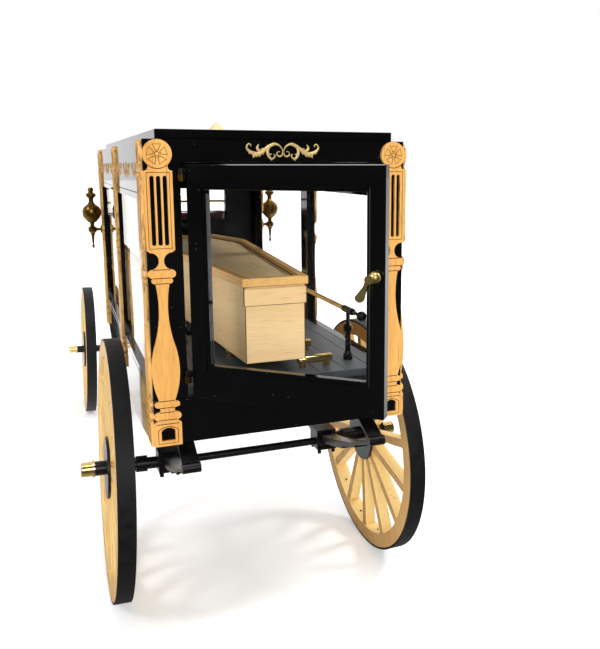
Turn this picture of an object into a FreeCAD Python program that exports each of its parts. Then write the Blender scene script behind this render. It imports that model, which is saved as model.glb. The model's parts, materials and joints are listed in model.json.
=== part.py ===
"""A horse-drawn glass-sided hearse, as a 1:12 display model of wood and metal.

Millimetres, +Z up, +Y the way it is drawn, +X its right-hand side. The origin is on the
ground, under the middle of the box that holds the whole model.
"""
import FreeCAD, Part
import math
import os
import Sketcher
from FreeCAD import Rotation, Vector

doc = FreeCAD.newDocument("hearse")
sheet = doc.addObject("Spreadsheet::Sheet", "Sizes")

# name, value in mm (degrees or a count where it says so), meaning
SIZE_TABLE = (
    # the body: a box of panels and frames between the four sets of pilasters
    ("tail_y", "-164.75", "outer face of the rear pilasters"),
    ("plate_thick", "1.2", "thickness of the pilaster plates"),
    ("body_long", "219", "body between the rear and front plates"),
    ("body_half", "49.2", "half width over the side panels"),
    ("wall_thick", "4.4", "thickness of panels, posts and side frames"),
    ("body_base", "85.8", "height of the body's lower rear corner"),
    ("panel_high", "17", "lower panels, at the tail"),
    ("belly_y", "88", "lowest point of the skirt, forward of the tail"),
    ("belly_drop", "8.8", "how far the skirt hangs below the rear corner"),
    ("belly_bulge", "2.5", "roundness of the skirt's rear sweep"),
    ("nose_rise", "3.7", "how far the skirt's front end is above its rear corner"),
    ("deck_step", "2.5", "deck above the door sill"),
    ("deck_thick", "4", "thickness of the deck"),
    ("plank_groove", "0.4", "width and depth of the deck's plank lines"),
    ("plank_pitch", "11", "width of one deck plank"),
    ("frame_high", "73.6", "side frames, from the sill to the frieze"),
    ("post_wide", "10.4", "width of the side frames' posts"),
    ("rail_high", "2.6", "height of the side frames' rails"),
    ("glass_thick", "1", "thickness of the panes"),
    ("front_win_side", "22.8", "front window in from the body's side"),
    ("front_win_low", "13", "front window's lower edge above the sill"),
    ("front_win_high", "56", "height of the front window"),
    ("frieze_high", "19", "height of the frieze box"),
    ("frieze_wall", "6", "thickness of the frieze box"),
    ("roof_side", "4.5", "roof slab in from the body's side"),
    ("roof_thick", "3.4", "thickness of the roof slab"),
    ("roof_inset", "1.5", "roof slab behind the body's tail"),
    ("roof_over", "6", "roof slab beyond the body's front"),
    ("finial_base", "14.2", "width of the pyramid on the roof"),
    ("finial_tip", "1.4", "width of its flat tip"),
    ("finial_high", "8.4", "height of the pyramid"),
    # the pilasters: flat fretwork plates cut to a turned column's outline
    ("plate_half", "4.85", "half width of a pilaster"),
    ("block_high", "9.2", "height of the pilaster's foot block"),
    ("disc_radius", "4.95", "rosette disc at the top"),
    ("disc_z", "104.5", "centre of the rosette disc above the foot"),
    ("flute_wide", "1.5", "width of a flute slot"),
    ("flute_pitch", "2.2", "spacing of the flute slots"),
    ("flute_low", "73", "lower end of the flutes above the foot"),
    ("flute_high", "24.1", "length of the flutes"),
    ("arch_half", "2.5", "half width of the arched opening in the foot"),
    # the rear door, hung on the left post
    ("hinge_post", "12.6", "doorway's hinge post, in from the side"),
    ("free_post", "11.8", "doorway's other post, in from the side"),
    ("doorway_high", "84.6", "doorway, from the sill to the header"),
    ("door_gap", "0.6", "clearance round the closed door"),
    ("hinge_gap", "1", "clearance at the door's hinge edge"),
    ("door_thick", "4", "thickness of the door"),
    ("door_open", "42", "angle at which the door stands open (degrees)"),
    ("pin_out", "1", "hinge pin outside the closed door's face"),
    ("pin_radius", "0.5", "radius of the hinge pin"),
    ("pin_fit", "0.05", "running clearance on pins and axles"),
    ("knuckle_radius", "1.1", "radius of the hinge knuckles"),
    ("knuckle_high", "2.2", "height of one hinge knuckle"),
    ("hinge_low", "8", "lower hinge above the door's foot"),
    ("hinge_up", "79.9", "upper hinge above the door's foot"),
    ("stile_hinge", "7.1", "door stile at the hinge side"),
    ("stile_free", "6.6", "door stile at the handle side"),
    ("door_rail_low", "12.1", "door's bottom rail"),
    ("door_rail_top", "8.7", "door's top rail"),
    ("bead_wide", "1.2", "step of the moulding round the door glass"),
    ("handle_z", "47.8", "door handle above the door's foot"),
    ("handle_inset", "2.9", "door handle from the free edge"),
    ("knob_radius", "2.05", "radius of the door handle's ball"),
    # the coffin on its rollers, and the rails beside it
    ("roller_radius", "1.7", "radius of the brass rollers"),
    ("roller_half", "24.8", "half length of the rollers"),
    ("roller_count", "7", "number of rollers"),
    ("roller_first", "16.7", "first roller forward of the tail"),
    ("roller_last", "37.7", "last roller behind the front wall"),
    ("roller_lift", "1.5", "rollers above the deck"),
    ("coffin_foot_y", "12", "coffin's foot forward of the tail"),
    ("coffin_head_y", "17.8", "coffin's head behind the front wall"),
    ("head_long", "38", "coffin from its shoulders to its head"),
    ("foot_half", "12", "half width of the coffin's foot"),
    ("shoulder_half", "24", "half width of the coffin's shoulders"),
    ("head_half", "14", "half width of the coffin's head"),
    ("coffin_high", "30.4", "height of the coffin without its lid"),
    ("lid_over", "1.2", "lid beyond the coffin's sides"),
    ("lid_high", "3.2", "thickness of the lid's frame"),
    ("lid_rim", "3", "width of the lid's raised frame"),
    ("lid_sink", "1.8", "depth of the lid's sunk panel"),
    ("band_high", "6.5", "cross band on the coffin's foot"),
    ("band_thick", "0.8", "thickness of the cross band"),
    ("rail_side", "14.7", "side rails in from the body's side"),
    ("rail_z", "21.2", "side rails above the deck"),
    ("rail_radius", "1.05", "radius of the side rails"),
    ("rail_tail", "7.5", "knob at the side rails' rear end, forward of the tail"),
    ("rail_neck", "9.5", "neck between that knob and the sleeve"),
    ("sleeve_long", "9.2", "sleeve that takes the rear end of the rail"),
    ("sleeve_radius", "1.45", "radius of the rail's sleeves"),
    ("stanchion_radius", "1.15", "column of a rail stanchion"),
    ("stanchion_first", "22.2", "first stanchion forward of the tail"),
    ("stanchion_last", "7.6", "last stanchion behind the front wall"),
    # the driver's box in front
    ("boot_half", "32", "half width of the driver's box"),
    ("boot_base", "8", "driver's box above the body's rear corner"),
    ("seat_z", "50", "seat board above the body's rear corner"),
    ("seat_long", "42", "seat box, front to back"),
    ("boot_long", "110", "flat underside of the driver's box"),
    ("boot_floor", "7", "thickness of the foot floor"),
    ("toe_run", "15", "toe of the driver's box, forward"),
    ("toe_rise", "13", "toe of the driver's box, upward"),
    ("back_board", "2.5", "thickness of the board behind the seat"),
    ("back_board_high", "16", "board behind the seat above the seat board"),
    ("footboard_run", "20", "footboard, forward"),
    ("footboard_rise", "22", "footboard, upward"),
    ("seat_half", "28.5", "half width of the cushions"),
    ("cushion_high", "8.5", "thickness of the seat cushion"),
    ("back_high", "21.5", "height of the seat back"),
    ("back_thick", "6", "thickness of the seat back"),
    ("seat_rail_x", "30.4", "brass seat rail from the middle"),
    ("seat_rail_high", "27.5", "brass seat rail above the seat board"),
    ("seat_rail_bend", "5", "bend of the seat rail at its corners"),
    ("seat_rail_radius", "0.7", "radius of the seat rail"),
    # the lamps on the front side pilasters
    ("lamp_out", "5.5", "lamp's middle outside its pilaster"),
    ("lamp_z", "72.5", "middle of the lamp's body above the pilaster's foot"),
    ("lamp_radius", "5.4", "radius of the lamp's body"),
    # running gear
    ("rear_axle_y", "61", "rear axle forward of the tail"),
    ("front_axle_y", "105.8", "front axle forward of the body's nose"),
    ("rear_radius", "56.2", "rear wheel over the tyre"),
    ("front_radius", "47.3", "front wheel over the tyre"),
    ("rear_track_out", "10.8", "rear wheel's middle plane outside the body's side"),
    ("front_track_out", "9.1", "front wheel's middle plane outside the body's side"),
    ("camber", "2", "lean of the wheels, inward at the top (degrees)"),
    ("rear_spokes", "14", "number of spokes in a rear wheel"),
    ("front_spokes", "12", "number of spokes in a front wheel"),
    ("tyre_wide", "6.8", "width of the tyres"),
    ("tyre_thick", "1", "thickness of the tyres"),
    ("felloe_deep", "6.4", "depth of the wooden rims"),
    ("spoke_wide", "4", "width of a spoke"),
    ("spoke_thick", "5", "thickness of a spoke along the axle"),
    ("flange_radius", "13.3", "radius of the hub's round plates"),
    ("flange_thick", "1.2", "thickness of the hub's round plates"),
    ("barrel_radius", "3.1", "radius of a rear hub's barrel"),
    ("front_barrel", "2.6", "radius of a front hub's barrel"),
    ("barrel_out", "8.3", "hub barrel outside the wheel's middle plane"),
    ("barrel_in", "8.7", "hub barrel inside the wheel's middle plane"),
    ("cap_radius", "3.05", "radius of a rear brass hub cap"),
    ("front_cap", "2.4", "radius of a front brass hub cap"),
    ("cap_brim", "0.6", "brim of a hub cap round its radius"),
    ("cap_end", "2", "thickness of a hub cap's closed end"),
    ("cap_long", "5.7", "length of the brass hub cap"),
    ("axle_radius", "1.75", "radius of the axle bars"),
    ("axle_drop", "1.3", "axle bars below the wheels' centres"),
    ("stub_radius", "2.6", "radius of the axle stubs outside the springs"),
    ("stub_gap", "0.2", "axle stubs from the spring clamps"),
    ("arm_gap", "0.5", "end of an axle arm from the hub cap's bottom"),
    ("arm_radius", "1.5", "radius of the axle arms in the hubs"),
    ("collar_radius", "3.5", "radius of the axle collars"),
    ("collar_long", "4.8", "length of the axle collars"),
    ("hub_gap", "0.3", "axial play between collar and hub"),
    ("leaf_wide", "6.2", "width of the spring leaves"),
    ("leaf_thick", "1.2", "thickness of one spring leaf"),
    ("leaf_pitch", "1.1", "step from one leaf to the next"),
    ("leaf_count", "3", "number of leaves in half a spring"),
    ("leaf_bend", "1.6", "bow of a spring leaf's arm"),
    ("leaf_flat", "6", "half length of the straight middle of a leaf"),
    ("spring_side", "12.2", "springs in from the body's side"),
    ("rear_spring_half", "63", "half length of a rear spring"),
    ("front_spring_half", "40", "half length of a front spring"),
    ("rear_eye_z", "77", "height of the rear springs' eyes"),
    ("front_sag", "11", "bow of half a front spring"),
    ("eye_radius", "1.9", "radius of the spring eyes"),
    ("clamp_long", "10", "length of the spring clamps"),
    ("clamp_over", "1.6", "spring clamps beyond the leaves"),
    ("clamp_top", "1.5", "clamp over the leaves it holds"),
    ("clamp_foot", "1", "thickness of the plate under a clamp"),
    ("foot_over", "0.8", "plate under a clamp beyond it"),
    ("bolt_radius", "0.9", "radius of the clamp bolts"),
    ("bolt_long", "1.8", "clamp bolts below the plate"),
    ("bolt_inset", "1.2", "clamp bolts in from the plate's edges"),
    ("eye_over", "0.3", "spring eyes beyond the leaves on each side"),
    ("spring_pad", "1", "pad between spring and deck"),
    ("ring_radius", "24", "outer radius of the fifth wheel"),
    ("ring_wide", "6", "width of the fifth wheel's rings"),
    ("ring_thick", "2", "thickness of one ring"),
    ("ring_gap", "0.2", "gap between the two rings"),
    ("bed_long", "12", "bolsters along the vehicle"),
    ("bolster_high", "5", "height of the lower bolster"),
    ("kingpin_radius", "2", "radius of the kingpin"),
    ("futchell_x", "9", "futchells from the middle"),
    ("futchell_wide", "4", "width of the futchells"),
    ("futchell_back", "30", "futchells behind the front axle"),
    ("futchell_front", "50", "futchells ahead of the front axle"),
    ("splinter_half", "38", "half length of the splinter bar"),
    ("splinter_radius", "1.8", "radius of the splinter bar"),
    ("splinter_lift", "1", "splinter bar above the futchells"),
    ("splinter_stub", "7.4", "trace stub at each end, to the middle of its knob"),
    ("socket_half", "3", "half width of the pole socket's hole"),
    ("socket_long", "16", "length of the pole socket"),
    ("socket_wall", "1.5", "wall of the pole socket"),
)


class Size:
    """A length that knows its number and the expression over the sheet that gives it."""

    def __init__(self, value, text=None):
        self.value = float(value)
        self.text = text if text is not None else repr(float(value))

    def __add__(self, other):
        other = size_of(other)
        return Size(self.value + other.value, f"({self.text} + {other.text})")

    def __sub__(self, other):
        other = size_of(other)
        return Size(self.value - other.value, f"({self.text} - {other.text})")

    def __mul__(self, other):
        other = size_of(other)
        return Size(self.value * other.value, f"({self.text} * {other.text})")

    def __truediv__(self, other):
        other = size_of(other)
        return Size(self.value / other.value, f"({self.text} / {other.text})")

    def __radd__(self, other):
        return size_of(other) + self

    def __rsub__(self, other):
        return size_of(other) - self

    def __rmul__(self, other):
        return size_of(other) * self

    def __neg__(self):
        return Size(-self.value, f"(0 - {self.text})")

    def root(self):
        return Size(math.sqrt(self.value), f"sqrt({self.text})")

    def cosine(self):
        """Of an angle in degrees."""
        return Size(math.cos(math.radians(self.value)), f"cos({self.text})")

    def sine(self):
        """Of an angle in degrees."""
        return Size(math.sin(math.radians(self.value)), f"sin({self.text})")


def size_of(value):
    return value if isinstance(value, Size) else Size(value)


class Sizes:
    """Every cell of the sheet by its name."""


S = Sizes()
for row, (alias, number, meaning) in enumerate(SIZE_TABLE, start=1):
    sheet.set(f"A{row}", alias)
    sheet.set(f"B{row}", number)
    sheet.setAlias(f"B{row}", alias)
    sheet.set(f"C{row}", meaning)
    setattr(S, alias, Size(number, f"Sizes.{alias}"))
doc.recompute()

subparts = []


def subpart(obj, label):
    """Names a finished sub-part."""
    obj.Label = label
    subparts.append(obj)
    return obj


def bind(obj, prop, size):
    size = size_of(size)
    if "Sizes." in size.text:
        obj.setExpression(prop, size.text)
    else:
        setattr(obj, prop, size.value)


def place(obj, at, turn=None):
    """Puts an object at (x, y, z), each bound to the sheet, turned by a fixed rotation."""
    numbers = [size_of(value) for value in at]
    if turn is None:
        turn = Rotation()
    obj.Placement = FreeCAD.Placement(Vector(*[n.value for n in numbers]), turn)
    for axis, number in zip("xyz", numbers):
        if "Sizes." in number.text:
            obj.setExpression(f"Placement.Base.{axis}", number.text)
    return obj


def add(kind, name):
    return doc.addObject(kind, name)


def box(name, x, y, z):
    """A block from pairs of limits along each axis."""
    block = add("Part::Box", name)
    for prop, (low, high) in (("Length", x), ("Width", y), ("Height", z)):
        bind(block, prop, size_of(high) - low)
    return place(block, (x[0], y[0], z[0]))


# turns that carry +Z to the named axis
ALONG = {
    "z": Rotation(),
    "x": Rotation(Vector(0, 1, 0), 90),
    "-x": Rotation(Vector(0, 1, 0), -90),
    "y": Rotation(Vector(1, 0, 0), -90),
    "-y": Rotation(Vector(1, 0, 0), 90),
}


def rod(name, radius, length, at, along):
    bar = add("Part::Cylinder", name)
    bind(bar, "Radius", radius)
    bind(bar, "Height", length)
    return place(bar, at, ALONG[along])


def ball(name, radius, at):
    sphere = add("Part::Sphere", name)
    bind(sphere, "Radius", radius)
    return place(sphere, at)


def fuse(name, pieces):
    joined = add("Part::MultiFuse", name)
    joined.Shapes = pieces
    joined.Refine = True
    return joined


def cut(name, base, tools):
    """The base less its tools; where there are several tools they are joined first."""
    left = add("Part::Cut", name)
    left.Base = base
    left.Tool = tools[0] if len(tools) == 1 else fuse(name + "_tools", tools)
    return left


def group(name, pieces):
    """Separate like solids that share one node."""
    together = add("Part::Compound", name)
    together.Links = pieces
    return together


def origin_plane(body, role):
    return next(item for item in body.Origin.OriginFeatures if item.Role == role)


def new_sketch(body, role, lift=0):
    """A sketch on one of the body's own planes, lifted along that plane's normal."""
    sketch = body.newObject("Sketcher::SketchObject", body.Name + "_sketch")
    sketch.AttachmentSupport = [(origin_plane(body, role), "")]
    sketch.MapMode = "FlatFace"
    lift = size_of(lift)
    sketch.AttachmentOffset = FreeCAD.Placement(Vector(0, 0, lift.value), Rotation())
    if "Sizes." in lift.text:
        sketch.setExpression("AttachmentOffset.Base.z", lift.text)
    return sketch


def bind_constraints(sketch, entries):
    """Adds dimensions as (constraint, size) and binds each size to the sheet."""
    first = sketch.ConstraintCount
    sketch.addConstraint([constraint for constraint, size in entries])
    for offset, (constraint, size) in enumerate(entries):
        if size is not None and "Sizes." in size.text:
            sketch.setExpression(f"Constraints[{first + offset}]", size.text)


def draw_loop(sketch, points, bulges=None):
    """A closed outline of (u, v) points.

    bulges maps an edge's number to how far its arc stands out to the right of the way it
    is drawn, so that an anticlockwise outline swells where the bulge is above zero.
    """
    bulges = bulges or {}
    points = [(size_of(u), size_of(v)) for u, v in points]
    first = sketch.GeometryCount
    count = len(points)
    geometry = []
    ends = []
    entries = []
    for edge in range(count):
        (u0, v0), (u1, v1) = points[edge], points[(edge + 1) % count]
        start = Vector(u0.value, v0.value, 0)
        end = Vector(u1.value, v1.value, 0)
        index = first + edge
        if edge not in bulges:
            geometry.append(Part.LineSegment(start, end))
            ends.append((1, 2))
            continue
        bulge = size_of(bulges[edge])
        du = u1 - u0
        dv = v1 - v0
        chord_squared = du * du + dv * dv
        chord = chord_squared.root()
        radius = (chord_squared / 4 + bulge * bulge) / (2 * bulge)
        reach = (radius - bulge) / chord
        centre_u = (u0 + u1) / 2 - dv * reach
        centre_v = (v0 + v1) / 2 + du * reach
        side = Vector(dv.value, -du.value, 0) * (bulge.value / chord.value)
        middle = (start + end) * 0.5 + side
        if bulge.value > 0:
            geometry.append(Part.Arc(start, middle, end))
            ends.append((1, 2))
        else:
            geometry.append(Part.Arc(end, middle, start))
            ends.append((2, 1))
        if abs(dv.value) >= abs(du.value):
            entries.append((Sketcher.Constraint("DistanceX", index, 3, centre_u.value), centre_u))
        else:
            entries.append((Sketcher.Constraint("DistanceY", index, 3, centre_v.value), centre_v))
    sketch.addGeometry(geometry, False)
    for edge in range(count):
        u, v = points[edge]
        index = first + edge
        before = first + (edge - 1) % count
        corner = Sketcher.Constraint("Coincident", before, ends[edge - 1][1], index, ends[edge][0])
        entries.append((corner, None))
        entries.append((Sketcher.Constraint("DistanceX", index, ends[edge][0], u.value), u))
        entries.append((Sketcher.Constraint("DistanceY", index, ends[edge][0], v.value), v))
    bind_constraints(sketch, entries)


def draw_circle(sketch, u, v, radius):
    u, v, radius = size_of(u), size_of(v), size_of(radius)
    index = sketch.GeometryCount
    centre = Vector(u.value, v.value, 0)
    sketch.addGeometry(Part.Circle(centre, Vector(0, 0, 1), radius.value), False)
    bind_constraints(sketch, [
        (Sketcher.Constraint("DistanceX", index, 3, u.value), u),
        (Sketcher.Constraint("DistanceY", index, 3, v.value), v),
        (Sketcher.Constraint("Radius", index, radius.value), radius),
    ])


def rectangle(u0, u1, v0, v1):
    return [(u0, v0), (u1, v0), (u1, v1), (u0, v1)]


def pad(body, sketch, length, backwards=False):
    feature = body.newObject("PartDesign::Pad", body.Name + "_pad")
    feature.Profile = sketch
    bind(feature, "Length", length)
    feature.Reversed = backwards
    sketch.Visibility = False
    return feature


def pocket(body, sketch, length, backwards=False):
    feature = body.newObject("PartDesign::Pocket", body.Name + "_pocket")
    feature.Profile = sketch
    bind(feature, "Length", length)
    feature.Reversed = backwards
    sketch.Visibility = False
    return feature


def plate(name, role, at, loops, thickness, turn=None):
    """A board: outlines (the first outer, the rest holes) padded along +X, +Y or +Z."""
    body = add("PartDesign::Body", name)
    sketch = new_sketch(body, role)
    for loop in loops:
        draw_loop(sketch, *loop)
    pad(body, sketch, thickness, backwards=role == "XZ_Plane")
    place(body, at, turn)
    return body


def turned(name, at, along, points, bulges=None):
    """A turned piece: (radius, height) points revolved about the named axis."""
    body = add("PartDesign::Body", name)
    sketch = new_sketch(body, "XZ_Plane")
    draw_loop(sketch, points, bulges)
    spin = body.newObject("PartDesign::Revolution", name + "_spin")
    spin.Profile = sketch
    spin.ReferenceAxis = (sketch, ["V_Axis"])
    spin.Angle = 360
    sketch.Visibility = False
    place(body, at, ALONG[along])
    return body


SIDES = (("left", -1), ("right", 1))

# heights and stations that several pieces share
sill_z = S.body_base + S.panel_high
deck_z = sill_z + S.deck_step
eave_z = sill_z + S.frame_high
frieze_top = eave_z + S.frieze_high
back_y = S.tail_y + S.plate_thick
nose_y = back_y + S.body_long
inner_half = S.body_half - S.wall_thick
front_wall_y = nose_y - S.wall_thick
inner_long = front_wall_y - S.tail_y
coffin_long = inner_long - S.coffin_foot_y - S.coffin_head_y
coffin_shoulder = coffin_long - S.head_long
roller_pitch = (inner_long - S.roller_first - S.roller_last) / (S.roller_count - 1)
stanchion_pitch = (inner_long - S.stanchion_first - S.stanchion_last) / 2
# places across the body, which follow its sides
doorway_hinge = S.body_half - S.hinge_post
doorway_free = S.body_half - S.free_post
front_win_half = S.body_half - S.front_win_side
roof_half = S.body_half - S.roof_side
rail_x = S.body_half - S.rail_side
spring_x = S.body_half - S.spring_side
rear_track = S.body_half + S.rear_track_out
front_track = S.body_half + S.front_track_out


def side_x(sign, outer, thickness):
    """Left limit of a piece whose outer face is at the given distance from the middle."""
    return outer - thickness if sign > 0 else -outer


def make_lower_body():
    """Skirt panels with the belly's sweep, the sill, the front panel and the plank deck."""
    skirt = [
        (0, 0),
        (S.belly_y - S.plate_thick, -S.belly_drop),
        (S.body_long, S.nose_rise),
        (S.body_long, S.panel_high),
        (0, S.panel_high),
    ]
    for side, sign in SIDES:
        x = side_x(sign, S.body_half, S.wall_thick)
        panel = plate(f"panel_{side}", "YZ_Plane", (x, back_y, S.body_base),
                      [(skirt, {0: S.belly_bulge})], S.wall_thick)
        subpart(panel, f"side_panel_{side}")
    across = (-inner_half, inner_half)
    sill_deep = S.wall_thick - 0.9
    sill = box("sill", across, (back_y, back_y + sill_deep), (S.body_base, sill_z))
    subpart(sill, "rear_sill_panel")
    nose = box("nose", across, (front_wall_y, nose_y), (S.body_base + S.nose_rise, sill_z))
    subpart(nose, "front_panel")
    deck_back = S.tail_y + S.door_thick + 2
    deck_low = deck_z - S.deck_thick
    slab = box("deck_slab", across, (deck_back, front_wall_y), (deck_low, deck_z))
    grooves = []
    for row in range(-3, 5):
        middle = S.plank_pitch * (row - 0.5)
        half = S.plank_groove / 2
        grooves.append(box(f"groove_{row + 4}", (middle - half, middle + half),
                           (deck_back, front_wall_y), (deck_z - S.plank_groove, deck_z + 1)))
    subpart(cut("deck_planks", slab, grooves), "deck")


def make_upper_body():
    """Side frames with two lights each, door posts, front wall, panes, frieze and roof."""
    light_low = S.rail_high
    light_top = S.frame_high - S.rail_high
    middle = S.body_long / 2
    lights = (
        (S.post_wide, middle - S.post_wide / 2),
        (middle + S.post_wide / 2, S.body_long - S.post_wide),
    )
    panes = []
    for side, sign in SIDES:
        x = side_x(sign, S.body_half, S.wall_thick)
        loops = [(rectangle(0, S.body_long, 0, S.frame_high),)]
        for low, high in lights:
            loops.append((rectangle(low, high, light_low, light_top),))
        frame = plate(f"frame_{side}", "YZ_Plane", (x, back_y, sill_z), loops, S.wall_thick)
        subpart(frame, f"side_frame_{side}")
        pane_x = x + (S.wall_thick - S.glass_thick) / 2
        for number, (low, high) in enumerate(lights):
            panes.append(box(f"pane_{side}_{number}", (pane_x, pane_x + S.glass_thick),
                             (back_y + low, back_y + high),
                             (sill_z + light_low, sill_z + light_top)))
    posts = []
    for side, low, high in (("left", -inner_half, -doorway_hinge),
                            ("right", doorway_free, inner_half)):
        posts.append(box(f"door_post_{side}", (low, high),
                         (back_y, back_y + S.wall_thick), (sill_z, eave_z)))
    subpart(group("post_pair", posts), "door_posts")
    wall = [
        (rectangle(-inner_half, inner_half, 0, S.frame_high),),
        (rectangle(-front_win_half, front_win_half, S.front_win_low,
                   S.front_win_low + S.front_win_high),),
    ]
    front = plate("front_wall_board", "XZ_Plane", (0, front_wall_y, sill_z), wall, S.wall_thick)
    subpart(front, "front_wall")
    pane_y = front_wall_y + (S.wall_thick - S.glass_thick) / 2
    win_z = sill_z + S.front_win_low
    panes.append(box("pane_front", (-front_win_half, front_win_half),
                     (pane_y, pane_y + S.glass_thick), (win_z, win_z + S.front_win_high)))
    subpart(group("panes", panes), "cabin_glass")

    wide = (-S.body_half, S.body_half)
    narrow = (S.frieze_wall - S.body_half, S.body_half - S.frieze_wall)
    shell = box("frieze_shell", wide, (back_y, nose_y), (eave_z, frieze_top))
    hollow = box("frieze_hollow", narrow, (back_y + S.frieze_wall, nose_y - S.frieze_wall),
                 (eave_z - 1, frieze_top + 1))
    header = box("frieze_doorway", (-doorway_hinge, doorway_free),
                 (back_y - 1, back_y + S.frieze_wall + 1),
                 (eave_z - 1, sill_z + S.doorway_high))
    subpart(cut("frieze_box", shell, [hollow, header]), "frieze")
    roof = box("roof_slab", (-roof_half, roof_half),
               (back_y + S.roof_inset, nose_y + S.roof_over),
               (frieze_top, frieze_top + S.roof_thick))
    subpart(roof, "roof")
    finial = add("Part::Wedge", "finial")
    half = S.finial_base / 2
    tip = S.finial_tip / 2
    for prop, value in (("Xmin", -half), ("Xmax", half), ("Zmin", -half), ("Zmax", half),
                        ("X2min", -tip), ("X2max", tip), ("Z2min", -tip), ("Z2max", tip),
                        ("Ymin", Size(0)), ("Ymax", S.finial_high)):
        bind(finial, prop, value)
    place(finial, (0, back_y + S.body_long / 2, frieze_top + S.roof_thick), ALONG["-y"])
    subpart(finial, "roof_finial")


# the pilaster's right-hand outline from foot to disc: distance from its middle, height
# above its foot, and the bulge of the arc that leaves each point (0 where it is straight)
COLUMN_OUTLINE = (
    # u, v, bulge
    (4.15, 9.2, 0),
    (3.6, 9.2, 0),
    (3.6, 9.85, 1.35),
    (3.6, 12.55, 0),
    (2.6, 12.9, 0),
    (2.6, 14.3, 0),
    (3.55, 14.6, 1.0),
    (3.55, 16.6, 0),
    (2.85, 16.9, 1.55),
    (3.9, 36.5, -1.48),
    (2.45, 59.65, 0),
    (2.8, 59.65, 0.95),
    (2.8, 61.55, 0),
    (3.45, 61.65, 1.45),
    (3.45, 64.55, 0),
    (3.9, 64.55, -3.0),
    (3.9, 70.65, 0),
    (4.95, 71.4, 0),
    (4.95, 98.8, -0.8),
    (3.6, 100.89, 0),
)


def pilaster(name, face, at, foot):
    """One fretwork plate. face is the plane it lies in; foot trims its block from below."""
    scale = S.plate_half / 4.95
    right = [(S.plate_half, foot), (S.plate_half, S.block_high - 0.8)]
    bulges = {}
    for u, v, bulge in COLUMN_OUTLINE[:-1]:
        if bulge:
            bulges[len(right)] = Size(bulge)
        right.append((scale * u, size_of(v)))
    neck = scale * COLUMN_OUTLINE[-1][0]
    neck_z = S.disc_z - (S.disc_radius * S.disc_radius - neck * neck).root()
    right.append((neck, neck_z))
    count = len(right)
    left = [(-u, v) for u, v in reversed(right)]
    top_edge = count - 1
    bulges[top_edge] = S.disc_z + S.disc_radius - neck_z
    for edge in list(bulges):
        if edge < top_edge:
            bulges[2 * count - 2 - edge] = bulges[edge]
    body = add("PartDesign::Body", name)
    role = "XZ_Plane" if face == "y" else "YZ_Plane"
    sketch = new_sketch(body, role)
    draw_loop(sketch, right + left, bulges)
    for column in (-1, 0, 1):
        middle = S.flute_pitch * column
        half = S.flute_wide / 2
        low = S.flute_low + half
        high = S.flute_low + S.flute_high - half
        draw_loop(sketch, [(middle - half, low), (middle + half, low),
                           (middle + half, high), (middle - half, high)],
                  {0: half * 0.98, 2: half * 0.98})
    arch_low = foot + 1.8
    draw_loop(sketch, rectangle(-S.arch_half, S.arch_half, arch_low, 5.7),
              {2: 1.2})
    pad(body, sketch, S.plate_thick, backwards=role == "XZ_Plane")
    place(body, at)
    return body


def make_pilasters():
    """Two plates on each end and three on each side, all with their discs at one height."""
    centre = S.body_half - S.plate_half
    for end, y in (("rear", S.tail_y), ("front", nose_y)):
        foot = Size(0) if end == "rear" else S.nose_rise
        plates = [pilaster(f"plate_{end}_{side}", "y", (centre * sign, y, S.body_base), foot)
                  for side, sign in SIDES]
        subpart(group(f"plates_{end}", plates), f"pilasters_{end}")
    stations = (
        (back_y + S.plate_half, Size(0)),
        (back_y + S.body_long / 2, S.nose_rise - 0.7),
        (nose_y - S.plate_half, S.nose_rise),
    )
    for side, sign in SIDES:
        x = S.body_half if sign > 0 else -S.body_half - S.plate_thick
        plates = []
        for number, (y, foot) in enumerate(stations):
            plates.append(pilaster(f"plate_{side}_{number}", "x", (x, y, S.body_base), foot))
        subpart(group(f"plates_{side}", plates), f"pilasters_{side}")


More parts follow.
